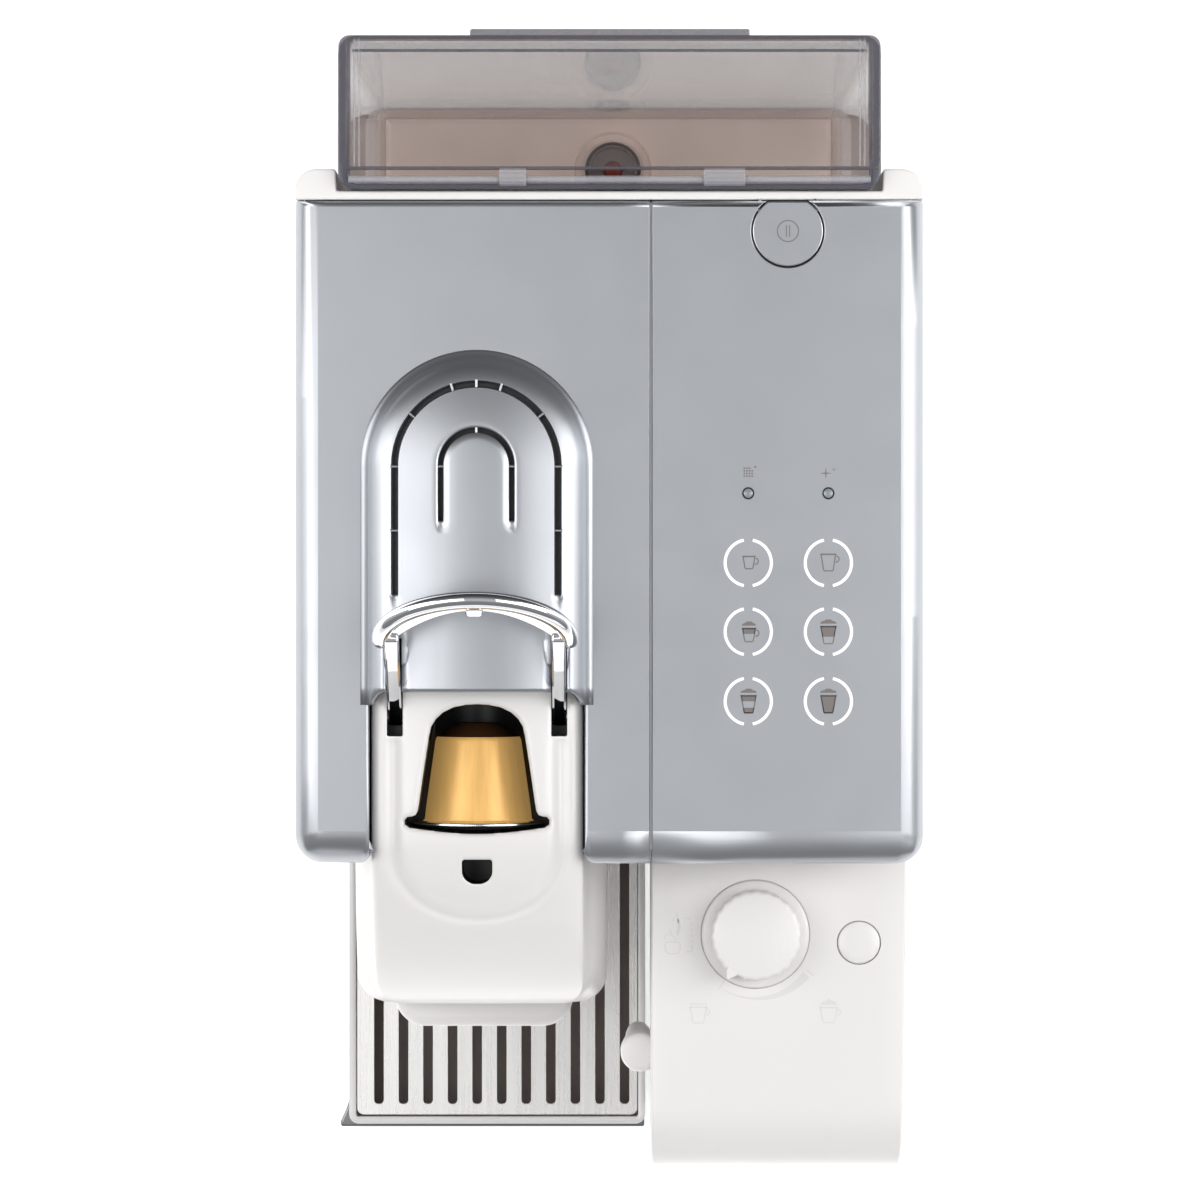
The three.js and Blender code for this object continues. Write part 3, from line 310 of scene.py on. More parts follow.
def slab(bm, points, z0, z1, holes=()):
    """A flat plate between two heights, with any holes cut through."""
    edges = outline_loop(bm, points, z0)[1]
    for hole in holes:
        edges += outline_loop(bm, hole, z0)[1]
    filled = bmesh.ops.triangle_fill(bm, use_beauty=True, use_dissolve=True, edges=edges)
    faces = [item for item in filled["geom"] if isinstance(item, bmesh.types.BMFace)]
    raised = bmesh.ops.extrude_face_region(bm, geom=faces, use_keep_orig=True)
    verts = [item for item in raised["geom"] if isinstance(item, bmesh.types.BMVert)]
    bmesh.ops.translate(bm, verts=verts, vec=(0, 0, z1 - z0))
    return verts


def rod(bm, start, end, radius, segments=32, radius_end=None):
    """A round bar between two points."""
    start, end = Vector(start), Vector(end)
    axis = end - start
    turn = axis.to_track_quat("Z", "Y").to_matrix().to_4x4()
    place = Matrix.Translation((start + end) / 2) @ turn
    made = bmesh.ops.create_cone(bm, cap_ends=True, segments=segments, radius1=radius,
                                 radius2=radius if radius_end is None else radius_end,
                                 depth=axis.length, matrix=place)
    return made["verts"]


def block(bm, low, high):
    size = [b - a for a, b in zip(low, high)]
    middle = [(a + b) / 2 for a, b in zip(low, high)]
    place = Matrix.Translation(middle) @ Matrix.Diagonal((*size, 1))
    return bmesh.ops.create_cube(bm, size=1, matrix=place)["verts"]


def turned(bm, profile, center, axis=(0, 0, 1), segments=64):
    """Spins a profile of (radius, height) points once round an axis through the center."""
    side = Vector((1, 0, 0)) if abs(Vector(axis).x) < 0.9 else Vector((0, 1, 0))
    center, axis = Vector(center), Vector(axis)
    verts = [bm.verts.new(center + side * r + axis * h) for r, h in profile]
    edges = [bm.edges.new(pair) for pair in zip(verts, verts[1:])]
    return bmesh.ops.spin(bm, geom=verts + edges, cent=center, axis=axis, angle=2 * math.pi,
                          steps=segments, use_merge=True)


def piece(name, bm, body, materials, replaces=(), merge=0.001 * MM, sharp=35):
    """Turns the bmesh into an object that rides on its body and stands for its frame nodes."""
    bmesh.ops.remove_doubles(bm, verts=bm.verts, dist=merge)
    bmesh.ops.recalc_face_normals(bm, faces=bm.faces)
    mesh = bpy.data.meshes.new(name)
    bm.to_mesh(mesh)
    bm.free()
    made = bpy.data.objects.new(name, mesh)
    scene.collection.objects.link(made)
    for material in materials if isinstance(materials, (list, tuple)) else [materials]:
        mesh.materials.append(material)
    mesh.shade_smooth()
    mesh.set_sharp_from_angle(angle=math.radians(sharp))
    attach(made, body)
    if replaces:
        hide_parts(*replaces)
    print(name + ":", len(mesh.polygons), "faces on", body)
    return made


def soften(made, width, segments=3, angle=30):
    bevel = made.modifiers.new("rounded_edges", "BEVEL")
    bevel.width = width
    bevel.segments = segments
    bevel.limit_method = "ANGLE"
    bevel.angle_limit = math.radians(angle)
    bevel.harden_normals = False
    return made


def thicken(made, thickness, even=True):
    shell = made.modifiers.new("wall", "SOLIDIFY")
    shell.thickness = thickness
    shell.offset = -1
    shell.use_even_offset = even
    return made


def paint(made, index, test):
    """Gives the faces whose centre passes the test another of the piece's materials."""
    for face in made.data.polygons:
        if test(face.center):
            face.material_index = index


# %% [markdown]
# ## The silver covers
# Two pressed covers meet at a fine seam. Each is drawn as a plan outline, pulled down into a skirt, left
# open underneath and rounded: wide along the outer edges, fine at the seam and round the head. The widths
# differ edge by edge, so they are written as bevel weights for one Bevel modifier.

# %% Cover sizes
cover_low, cover_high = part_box("top_cover")
panel_low, panel_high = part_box("control_panel")
head_low, head_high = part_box("head_shell")
capsule_low, capsule_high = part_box("capsule")
button_low, button_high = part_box("power_button")
cover_top = panel_high[2]
head_x = (head_low[0] + head_high[0]) / 2
neck_half = 29.65 * MM
hood_rear_y = head_high[1]
EDGE_ROUND = 9 * MM
SIDE_SHARE, REAR_SHARE, SEAM_SHARE, NOTCH_SHARE, CORNER_SHARE = 0.72, 0.2, 0.03, 0.09, 0.85
print("cover plane at", round(cover_top / MM, 1), "mm, head centre at", round(head_x / MM, 1), "mm")


# %% Cover builder
def cover_plate(name, outline, weight_of, replaces, splits=()):
    bm = bmesh.new()
    verts = [bm.verts.new((x, y, cover_top)) for x, y in outline]
    face = bm.faces.new(verts)
    raised = bmesh.ops.extrude_face_region(bm, geom=[face], use_keep_orig=True)
    moved = [item for item in raised["geom"] if isinstance(item, bmesh.types.BMVert)]
    bmesh.ops.translate(bm, verts=moved, vec=(0, 0, panel_low[2] - cover_top))
    bmesh.ops.recalc_face_normals(bm, faces=bm.faces)
    for point, normal in splits:
        everything = bm.verts[:] + bm.edges[:] + bm.faces[:]
        bmesh.ops.bisect_plane(bm, geom=everything, plane_co=point, plane_no=normal)
    under = [f for f in bm.faces if f.calc_center_median().z < panel_low[2] + 1e-6]
    bmesh.ops.delete(bm, geom=under, context="FACES_ONLY")
    for vert in bm.verts:
        over_cage = abs(vert.co.x - head_x) < 20.5 * MM and abs(vert.co.y - hood_rear_y) < 0.1 * MM
        if over_cage and vert.co.z < cover_top - 1 * MM:
            vert.co.z = cover_top - 3.8 * MM
    weights = bm.edges.layers.float.new("bevel_weight_edge")
    for edge in bm.edges:
        a, b = (v.co for v in edge.verts)
        if min(a.z, b.z) > cover_top - 1e-6 and not all(f.normal.z > 0.9 for f in edge.link_faces):
            edge[weights] = weight_of((a + b) / 2)
        elif (a - b).xy.length < 1e-6:
            outer = abs(a.x) > 80 * MM
            notch_corner = a.y < cover_low[1] + 1e-6 and abs(abs(a.x - head_x) - neck_half) < 1e-6
            if outer:
                edge[weights] = CORNER_SHARE if a.y < 0 else 0.10
            elif notch_corner:
                edge[weights] = 0.33
    made = piece(name, bm, "machine", silver, replaces, sharp=30)
    bevel = made.modifiers.new("rounded_edges", "BEVEL")
    bevel.width = EDGE_ROUND
    bevel.segments = 10
    bevel.limit_method = "WEIGHT"
    bevel.use_clamp_overlap = False
    return thicken(made, 1.6 * MM, even=False)


# %% Main cover
LANE_HALF = 2.3 * MM
ARM_OFFSET = 22.6 * MM
LANE_BACK = -6 * MM
seam_left = cover_high[0]
x0, x1 = cover_low[0], seam_left
front, rear = cover_low[1], cover_high[1]
lanes = []
for side in (1, -1):
    x = head_x + side * ARM_OFFSET
    lanes += [(x + LANE_HALF, hood_rear_y, 0), (x + LANE_HALF, LANE_BACK, 0),
              (x - LANE_HALF, LANE_BACK, 0), (x - LANE_HALF, hood_rear_y, 0)]
main_outline = rounded_outline([
    (x0, front, 0), (head_x - neck_half, front, 0), (head_x - neck_half, hood_rear_y, 1 * MM),
    *lanes[::-1],
    (head_x + neck_half, hood_rear_y, 1 * MM), (head_x + neck_half, front, 0), (x1, front, 0),
    (x1, rear, 0), (x0, rear, 0),
])


def main_weight(point):
    if point.x > x1 - 0.01 * MM:
        return SEAM_SHARE
    if abs(point.x - head_x) < neck_half + 0.2 * MM and front + 0.1 * MM < point.y < LANE_BACK + 1 * MM:
        return NOTCH_SHARE
    if point.y > rear - 0.01 * MM:
        return REAR_SHARE
    return SIDE_SHARE if point.x < x0 + 0.01 * MM else 1.0


across_splits = [((head_x + offset * MM, 0, 0), (1, 0, 0)) for offset in (-41, -27, -10, 10, 27, 39)]
along_splits = [((0, y * MM, 0), (0, 1, 0)) for y in (-40, -18, -3, 60)]
cover_plate("main_cover", main_outline, main_weight, ("top_cover",), across_splits + along_splits)

# %% Seam strip
bm = bmesh.new()
block(bm, (seam_left + 0.02 * MM, front + 4 * MM, panel_low[2] + 2 * MM),
      (panel_low[0] - 0.02 * MM, rear - 0.5 * MM, cover_top - 1.1 * MM))
piece("seam_strip", bm, "machine", silver)

# %% Control panel
button_x = (button_low[0] + button_high[0]) / 2
BUTTON_HOLE = 10.05 * MM
button_y = button_low[1] + 9.7 * MM
reach = math.degrees(math.asin((panel_high[1] - button_y) / BUTTON_HOLE))
notch = arc_points((button_x, button_y), BUTTON_HOLE, reach, -180 - reach, 48)
panel_outline = rounded_outline([
    (panel_low[0], panel_low[1], 0), (panel_high[0], panel_low[1], 0),
    (panel_high[0], panel_high[1], 0), *[(x, y, 0) for x, y in notch],
    (panel_low[0], panel_high[1], 0),
])


def panel_weight(point):
    if point.x < panel_low[0] + 0.01 * MM:
        return SEAM_SHARE
    if math.hypot(point.x - button_x, point.y - button_y) < BUTTON_HOLE + 0.1 * MM:
        return 0.03
    if point.y > panel_high[1] - 0.01 * MM:
        return REAR_SHARE
    return SIDE_SHARE if point.x > panel_high[0] - 0.01 * MM else 1.0


panel_splits = [((button_x, 0, 0), (1, 0, 0)), ((0, 80 * MM, 0), (0, 1, 0)), ((0, 0, 0), (0, 1, 0))]
cover_plate("silver_control_panel", panel_outline, panel_weight, ("control_panel",), panel_splits)

# %% [markdown]
# ## The vent hood
# A long arched hump rises behind the head and lets the steam out through two arched slots. Its section
# is drawn from the plate up to the roof, then carried along the arch: straight at the sides and half a
# turn round the back. The slots are strips of faces taken out before the sheet is given its thickness.

# %% Hood section
HOOD_ARC_Y = 41.2 * MM
roof = cover_high[2] - cover_top
hood_section = [(32.2, -0.05), (31.2, 0.2), (30.55, 0.7), (30.1, 1.5), (29.7, 2.6), (29.1, 3.8),
                (28.3, 4.9), (27.3, 5.85), (26.2, 6.6), (25.0, 7.15), (24.0, 7.5), (23.35, 7.75),
                (22.85, 7.9), (21.6, 8.15), (21.3, 8.2), (20.35, 8.36), (18, 8.72), (16, 9.0), (14, 9.25),
                (12.4, 9.42), (11.2, 9.53), (10.6, 9.58), (10.35, 9.6), (9.05, 9.7), (8.8, 9.72), (7, 9.83),
                (5, 9.92), (2.5, 9.98), (0, 10)]
hood_section = [(r, h * roof / MM / 10) for r, h in hood_section]
SLOT_SINK = {23.35: (0.1, 5), 22.85: (0.8, 5), 21.6: (0.5, 5), 10.6: (0.1, 25), 10.35: (0.45, 25),
             9.05: (0.45, 25), 8.8: (0.1, 25)}
OUTER_SLOT = (21.6, 22.85, 6)
INNER_SLOT = (9.05, 10.35, 26.1)
FLARE = 3.6


# %% Hood path
def hood_stations():
    straight = [hood_rear_y / MM, -19.5, -17, -13, -9, -6, 0, 4, 5.4, 6, 12, 18, 22.5, 24, 25.5, 26.1, 32, 37]
    places = [(1, y) for y in straight]
    places += [(math.radians(a), None) for a in range(0, 181, 3)]
    return places + [(-1, y) for y in reversed(straight)]


def hood_point(station, radius, height):
    kind, y = station
    sink, start = SLOT_SINK.get(radius, (0, 0))
    height -= sink if y is None or y > start else 0
    if y is not None and y <= hood_rear_y / MM:
        y -= FLARE * min(max((radius - 26) / 3.6, 0), 1) ** 1.6
    if y is None:
        return (head_x + radius * MM * math.cos(kind), HOOD_ARC_Y + radius * MM * math.sin(kind),
                cover_top + height * MM)
    return (head_x + kind * radius * MM, y * MM, cover_top + height * MM)


bm = bmesh.new()
stations = hood_stations()
grid = [[bm.verts.new(hood_point(s, r, h)) for r, h in hood_section] for s in stations]
for (s0, row0), (s1, row1) in zip(zip(stations, grid), zip(stations[1:], grid[1:])):
    for i in range(len(hood_section) - 1):
        r_mid = (hood_section[i][0] + hood_section[i + 1][0]) / 2
        y_mid = 99 if s0[1] is None or s1[1] is None else (s0[1] + s1[1]) / 2
        in_slot = any(a < r_mid < b and y_mid > start for a, b, start in (OUTER_SLOT, INNER_SLOT))
        in_lane = 20.35 < r_mid < 25.0 and y_mid < LANE_BACK / MM
        if in_slot or in_lane:
            continue
        bm.faces.new((row0[i], row1[i], row1[i + 1], row0[i + 1]))
bmesh.ops.remove_doubles(bm, verts=bm.verts, dist=0.001 * MM)
bmesh.ops.dissolve_degenerate(bm, edges=bm.edges, dist=0.001 * MM)
loose = [v for v in bm.verts if not v.link_faces]
bmesh.ops.delete(bm, geom=loose, context="VERTS")
hood = piece("vent_hood", bm, "machine", silver, sharp=50)
thicken(hood, 1.5 * MM)

# %% Bars across the slots
bm = bmesh.new()


def slot_bar(radius, place):
    if isinstance(place, tuple):
        side, y = place
        inner = (head_x + side * (radius - 1.3) * MM, y * MM)
        outer = (head_x + side * (radius + 1.3) * MM, y * MM)
    else:
        angle = math.radians(place)
        inner, outer = [(head_x + r * MM * math.cos(angle), HOOD_ARC_Y + r * MM * math.sin(angle))
                        for r in (radius - 1.3, radius + 1.3)]
    height = cover_top + (7.5 if radius > 15 else 8.9) * MM
    rod(bm, (*inner, height), (*outer, height), 0.4 * MM, segments=12)


for place in ((1, 41), (-1, 41), (1, 23.5), (-1, 23.5), 38, 142, 72.6, 107.4, 90):
    slot_bar(22.2, place)
for place in ((1, 41), (-1, 41), 90):
    slot_bar(9.7, place)
piece("slot_bars", bm, "machine", silver)

# %% [markdown]
# ## The brew head
# The head is one soft white moulding. It is built as a fine net of points: across, a section with a
# low crown and round shoulders; along, a curve that stays level over the capsule slot and then falls
# down the nose. A shallow channel for the closed lever and the rolled lip of the capsule slot are
# pressed into the net, and the slot itself is cut out sharply afterwards.

# %% Smooth curves
def smooth(points, steps):
    """A smooth curve through the points, Catmull-Rom with the ends repeated."""
    line = [points[0], *points, points[-1]]
    out = []
    for a, b, c, d in zip(line, line[1:], line[2:], line[3:]):
        for i in range(steps):
            t = i / steps
            out.append(tuple(0.5 * (2 * q + (r - p) * t + (2 * p - 5 * q + 4 * r - s) * t * t
                                    + (3 * q - p - 3 * r + s) * t ** 3) for p, q, r, s in zip(a, b, c, d)))
    return out + [tuple(points[-1])]


def evenly(line, step):
    """Points at even spacing along a polyline."""
    line = np.array(line, float)
    lengths = np.concatenate([[0], np.cumsum(np.linalg.norm(np.diff(line, axis=0), axis=1))])
    at = np.linspace(0, lengths[-1], max(2, int(round(lengths[-1] / step)) + 1))
    return np.column_stack([np.interp(at, lengths, line[:, k]) for k in range(line.shape[1])])


# %% Head curves
head_half = (head_high[0] - head_low[0]) / 2 / MM
head_drop = (head_high[2] - head_low[2]) / MM
across = smooth([(0, 0), (8, 0.1), (16, 0.4), (22, 0.9), (25.8, 1.7), (28.4, 3.3), (29.25, 6.2), (29.4, 14),
                 (30.6, 24), (33.0, 33), (35.0, 44), (head_half, 58), (head_half, 82), (34.6, 92),
                 (32.5, head_drop)], 8)
across = evenly(across, 0.62)
along = smooth([(hood_rear_y / MM, 0), (-40, 0.0), (-58, 0.3), (-68, 1.9), (-78, 6.2), (-88, 14), (-97, 26),
                (-104, 41), (-108.5, 56), (-111, 70), (-112, 84)], 10)
along = evenly(along, 0.62)
NOSE_CORNER = 9.5
nose_start = head_low[1] / MM + NOSE_CORNER
print("head net:", 2 * len(across) - 1, "by", len(along), "points")

# %% Head openings
bell = [(-19.9, -56.0), (-19.9, -57.2)]
bell += [(x, -57.9 - 1.9 * math.cos(x / 19.9 * math.pi / 2)) for x in np.linspace(-18.6, 18.6, 24)]
bell += [(19.9, -57.2), (19.9, -56.0), (19.2, -55.2), (18, -55.0), (16.9, -54.6), (16.3, -53.4)]
side_line = [(15.9, -51), (14.6, -42), (13.2, -33), (12.6, -30.3), (11.4, -28.3), (9.4, -26.4)]
bell += side_line + [(6.5, -25.0), (3.3, -24.35), (0, -24.15), (-3.3, -24.35), (-6.5, -25.0)]
bell += [(-x, y) for x, y in reversed(side_line)]
bell += [(-16.3, -53.4), (-16.9, -54.6), (-18, -55.0), (-19.2, -55.2)]
d_hole = rounded_outline([(-4.2, -66.9, 0.8), (4.2, -66.9, 0.8), (4.2, -73.7, 3.6), (-4.2, -73.7, 3.6)])
arm_slots = [box_outline(s * 22.6 - 2.2, s * 22.6 + 2.2, -33, -14, 0.5) for s in (-1, 1)]
openings = [(bell, 30, 1.3), (d_hole, 24, 0.5), (arm_slots[0], 13, 0.35), (arm_slots[1], 13, 0.35)]


def distance_outside(points, outline):
    """Distance from each point to the outline, with the inside counted as zero."""
    outline = np.array(outline, float)
    starts, ends = outline, np.roll(outline, -1, axis=0)
    nearest = np.full(len(points), 1e9)
    inside = np.zeros(len(points), bool)
    for a, b in zip(starts, ends):
        edge = b - a
        share = np.clip(((points - a) @ edge) / max(edge @ edge, 1e-12), 0, 1)
        nearest = np.minimum(nearest, np.linalg.norm(points - a - share[:, None] * edge, axis=1))
        crosses = (a[1] > points[:, 1]) != (b[1] > points[:, 1])
        x_at = a[0] + (points[:, 1] - a[1]) * edge[0] / (edge[1] if edge[1] else 1e-9)
        inside ^= crosses & (points[:, 0] < x_at)
    nearest[inside] = 0
    return nearest


# %% Head net
rows = []
for y, drop in along:
    corner = 1.0
    if y < nose_start:
        corner = (head_half - NOSE_CORNER + math.sqrt(max(0, NOSE_CORNER ** 2 - (nose_start - y) ** 2)))
        corner = corner / head_half
    squash = (head_drop - drop) / head_drop
    half = [(x * corner, head_drop - drop - z * squash) for x, z in across]
    rows.append([(-x, y, z) for x, z in reversed(half[1:])] + [(x, y, z) for x, z in half])
net = np.array(rows)
flat = net.reshape(-1, 3)
top_side = flat[:, 2] > (head_drop - np.repeat([d for _, d in along], len(rows[0]))) * 0.86
ring_y = np.minimum(flat[:, 1] + 64.4, 0)
channel = np.abs(np.hypot(np.abs(flat[:, 0]) / 23.2, ring_y / 19.2) - 1) * 21
channel = np.where(flat[:, 1] > -64.4, np.abs(np.abs(flat[:, 0]) - 23.2), channel)
fade = np.clip((-29 - flat[:, 1]) / 6, 0, 1)
flat[:, 2] -= np.where(top_side, 1.5 * np.exp(-((channel / 1.9) ** 2)) * fade, 0)
shield = (np.abs(flat[:, 0]) < 23) & (np.hypot(flat[:, 0] / 23.2, ring_y / 19.2) < 1) & top_side
flat[:, 2] += np.where(shield, 0.45 * (1 - np.exp(-((channel / 2.6) ** 2))) * fade, 0)
for outline, _, lip in openings:
    reach_in = np.clip(lip - distance_outside(flat[:, :2], outline), 0, lip)
    flat[:, 2] -= np.where(top_side, lip - np.sqrt(np.maximum(lip ** 2 - reach_in ** 2, 0)), 0)

# %% Head solid
bm = bmesh.new()
origin = Vector((head_x, 0, head_low[2]))
verts = [[bm.verts.new(origin + Vector(p) * MM) for p in row] for row in flat.reshape(net.shape)]
for row0, row1 in zip(verts, verts[1:]):
    for i in range(len(row0) - 1):
        bm.faces.new((row0[i], row0[i + 1], row1[i + 1], row1[i]))
    bm.faces.new((row0[-1], row0[0], row1[0], row1[-1]))
bm.faces.new(verts[0])
bm.faces.new(verts[-1][::-1])
bmesh.ops.recalc_face_normals(bm, faces=bm.faces)
uncut = bpy.data.meshes.new("head_uncut")
bm.to_mesh(uncut)
bm.free()
for material in (white, black):
    uncut.materials.append(material)

# %% Head cutters
bm = bmesh.new()
for outline, depth, _ in openings:
    deep = head_high[2] - depth * MM
    placed = [(head_x + x * MM, y * MM) for x, y in outline]
    slab(bm, placed, deep, head_high[2] + 5 * MM)
cage_low, cage_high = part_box("brew_cage")
cage_radius, cage_z = (cage_high[2] - cage_low[2]) / 2 + 0.6 * MM, (cage_high[2] + cage_low[2]) / 2
cage_reach = cage_low[1] - joints["cage_advance"]["range_m"][1] - 0.8 * MM
rod(bm, (head_x, cage_reach, cage_z), (head_x, hood_rear_y + 4 * MM, cage_z), cage_radius, 64)
bmesh.ops.recalc_face_normals(bm, faces=bm.faces)
cutter_mesh = bpy.data.meshes.new("head_cutter")
bm.to_mesh(cutter_mesh)
bm.free()
for material in (white, black):
    cutter_mesh.materials.append(material)
for face in cutter_mesh.polygons:
    face.material_index = 1


def carved(uncut, cutter_mesh):
    """The first mesh with the second taken out of it, as a new mesh."""
    body = bpy.data.objects.new("uncut", uncut)
    cutter = bpy.data.objects.new("cutter", cutter_mesh)
    for made in (body, cutter):
        scene.collection.objects.link(made)
    cut = body.modifiers.new("cut", "BOOLEAN")
    cut.object, cut.operation, cut.solver, cut.use_self = cutter, "DIFFERENCE", "EXACT", True
    result = bpy.data.meshes.new_from_object(body.evaluated_get(bpy.context.evaluated_depsgraph_get()))
    for made in (body, cutter):
        bpy.data.objects.remove(made)
    return result


bm = bmesh.new()
bm.from_mesh(carved(uncut, cutter_mesh))
piece("head_moulding", bm, "machine", [white, black], ("head_shell", "capsule_slot_liner"),
      sharp=50)

# %% [markdown]
# ## The capsule
# The capsule is a turned shape: a thin rolled rim, a tapering cup and a domed end. The rim and the cup
# are different foils. The far end lies in the shade of the slot and is painted near black as painted
# shade, and the cup's gold carries a faint painted glow for the light bounced round the slot.

# %% Capsule
capsule_x = (capsule_low[0] + capsule_high[0]) / 2
capsule_z = (capsule_low[2] + capsule_high[2]) / 2
rim_y = capsule_low[1]
profile = [(0, 0.25), (16.6, 0.25), (17.3, 0.05), (18.1, 0.0), (18.45, 0.25), (18.5, 0.6), (18.3, 0.95),
           (17.8, 1.1), (15.4, 1.15), (14.95, 1.5), (14.8, 2.2), (14.5, 5), (13.1, 15), (11.95, 23.2),
           (11.75, 24.0), (11.4, 24.5), (10.9, 24.8), (9.6, 26.0), (8.0, 27.2), (6.6, 27.9), (6.2, 28.2),
           (5, 28.35), (0, 28.4)]
bm = bmesh.new()
turned(bm, [(r * MM, h * MM) for r, h in profile], (capsule_x, rim_y, capsule_z), (0, 1, 0), 96)
# The domed end is painted near black: painted shade for the dark of the slot, not a foil of its own.
capsule_end_painted_shade = finish("painted_shade_foil", (0.07, 0.03, 0.01), 0.4, drift=0.1, Metallic=0.5)
capsule = piece("gold_capsule", bm, "capsule", [gold, flange_metal, capsule_end_painted_shade], ("capsule",),
                sharp=40)
paint(capsule, 1, lambda c: c.y < rim_y + 1.3 * MM)
paint(capsule, 2, lambda c: c.y > rim_y + 24.6 * MM)

# %% [markdown]
# ## The lever
# A chrome loop stands open over the slot. Its tube is an ellipse in section, swept over a half oval;
# a thin plate fills the crown of the oval, and two flat arms run down to the pins. It is drawn flat
# with its pivot at the origin and then tipped up to the open angle.

# %% Lever sizes
swing = joints["lever_swing"]
pivot = Vector((head_x, swing["pos_m"][1], swing["pos_m"][2]))
OPEN_ANGLE = math.radians(55)
LOOP_HALF, LOOP_RISE, LOOP_BASE, ARM_X = 25.5, 18.7, 37, 22.6


def sweep(bm, path, radii, segments=28, up=(0, 0, 1)):
    """A round or oval tube along a path in one plane; radii are across and along the up direction."""
    up = Vector(up)
    rings = []
    for i, point in enumerate(path):
        before, after = Vector(path[max(i - 1, 0)]), Vector(path[min(i + 1, len(path) - 1)])
        side = (after - before).normalized().cross(up).normalized()
        wide, tall = radii(i) if callable(radii) else radii
        rings.append([bm.verts.new(Vector(point) + side * wide * math.cos(a) + up * tall * math.sin(a))
                      for a in (2 * math.pi * k / segments for k in range(segments))])
    for ring0, ring1 in zip(rings, rings[1:]):
        for k in range(segments):
            bm.faces.new((ring0[k], ring0[(k + 1) % segments], ring1[(k + 1) % segments], ring1[k]))
    bm.faces.new(rings[0][::-1])
    bm.faces.new(rings[-1])
    return rings


# %% Lever loop
bm = bmesh.new()
angles = [math.pi * i / 72 for i in range(73)]
path = [(LOOP_HALF * math.cos(a), LOOP_BASE + LOOP_RISE * math.sin(a), 0) for a in angles]
cap_steps = [0.15, 0.45, 0.75, 0.93]
lead = [(LOOP_HALF, LOOP_BASE - 2.5 * math.cos(math.asin(c)), 0) for c in cap_steps]
trail = [(-x, y, z) for x, y, z in reversed(lead)]
caps = cap_steps + [1] * len(path) + cap_steps[::-1]
sweep(bm, lead + path + trail, lambda i: (2.5 * caps[i], 2.3 * caps[i]))

# %% Lever plate and tooth
inner = [(x, LOOP_BASE - 1 + 15.5 * math.cos(x / 23 * math.pi / 2) ** 0.8) for x in np.linspace(-23, 23, 40)]
outer = [(24.4 * math.cos(a), LOOP_BASE - 0.5 + 18.4 * math.sin(a)) for a in np.linspace(0, math.pi, 40)]
slab(bm, outer + inner, -0.9, 0.9)
slab(bm, box_outline(-2.4, 2.4, 50.6, 54.5, 1.2), 0.2, 2.2)

# %% Lever arms
for side in (-1, 1):
    arm = rounded_outline([(-2.4, LOOP_BASE + 3, 1), (-2.5, 4.0, 0), (-1.2, -3.4, 1), (1.2, -3.4, 1),
                           (2.5, 4.0, 0), (2.4, LOOP_BASE + 3, 1)], 5)
    added = slab(bm, arm, side * ARM_X - 1.9, side * ARM_X + 1.9)
    turn = Matrix(((0, 0, 1, 0), (0, 1, 0, 0), (-1, 0, 0, 0), (0, 0, 0, 1)))
    outline_verts = {v for v in added} | {v for f in {f for v in added for f in v.link_faces}
                                          for v in f.verts}
    bmesh.ops.transform(bm, matrix=turn, verts=list(outline_verts))
place = Matrix.Translation(pivot) @ Matrix.Rotation(OPEN_ANGLE, 4, "X") @ Matrix.Scale(MM, 4)
bmesh.ops.transform(bm, matrix=place, verts=bm.verts)
lever = piece("chrome_lever", bm, "lever", chrome, ("lever",), merge=1e-7, sharp=30)
soften(lever, 0.55 * MM, 3, 40)

# %% [markdown]
# ## The coffee outlet
# Under the nose a lower lip reaches a little further forward, and two short nozzles point down from it.

# %% Outlet
outlet_low, outlet_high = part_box("coffee_outlet")
bm = bmesh.new()
lip_front, lip_back = 9 * MM, 3 * MM
plan = rounded_outline([
    (outlet_low[0], outlet_low[1], lip_front), (outlet_high[0], outlet_low[1], lip_front),
    (outlet_high[0], outlet_high[1], lip_back), (outlet_low[0], outlet_high[1], lip_back)], 12)
slab(bm, plan, outlet_high[2] - 12 * MM, outlet_high[2])
outlet = piece("outlet_lip", bm, "machine", white, ("coffee_outlet",))
soften(outlet, 4 * MM, 6)
bm = bmesh.new()
for side in (-8, 8):
    spout = [(0.0, 1), (1.4, 1), (2.2, 0), (3.1, 0), (3.4, 0.4), (4.4, 7), (4.6, 10), (0, 10)]
    turned(bm, [(r * MM, h * MM) for r, h in spout], (head_x + side * MM, -98 * MM, outlet_low[2]))
piece("outlet_nozzles", bm, "machine", soft_white)

# %% [markdown]
# ## Printed marks
# Rings and small pictures are printed on the panel and on the jug. A print is a thin raised film, so
# each stroke is an outline of even width, pulled up by a few hundredths of a millimetre.

# %% Strokes
INK = 0.06 * MM


def stroke_outline(points, width):
    """The outline of a line of even width through the points."""
    left, right = [], []
    for i, point in enumerate(points):
        before, after = points[max(i - 1, 0)], points[min(i + 1, len(points) - 1)]
        along_x, along_y = after[0] - before[0], after[1] - before[1]
        length = math.hypot(along_x, along_y)
        side = (-along_y / length * width / 2, along_x / length * width / 2)
        left.append((point[0] + side[0], point[1] + side[1]))
        right.append((point[0] - side[0], point[1] - side[1]))
    return left + right[::-1]


def print_shape(bm, outline, center, z):
    slab(bm, [(center[0] + x * MM, center[1] + y * MM) for x, y in outline], z, z + INK)


def print_line(bm, points, width, center, z):
    print_shape(bm, stroke_outline(points, width), center, z)


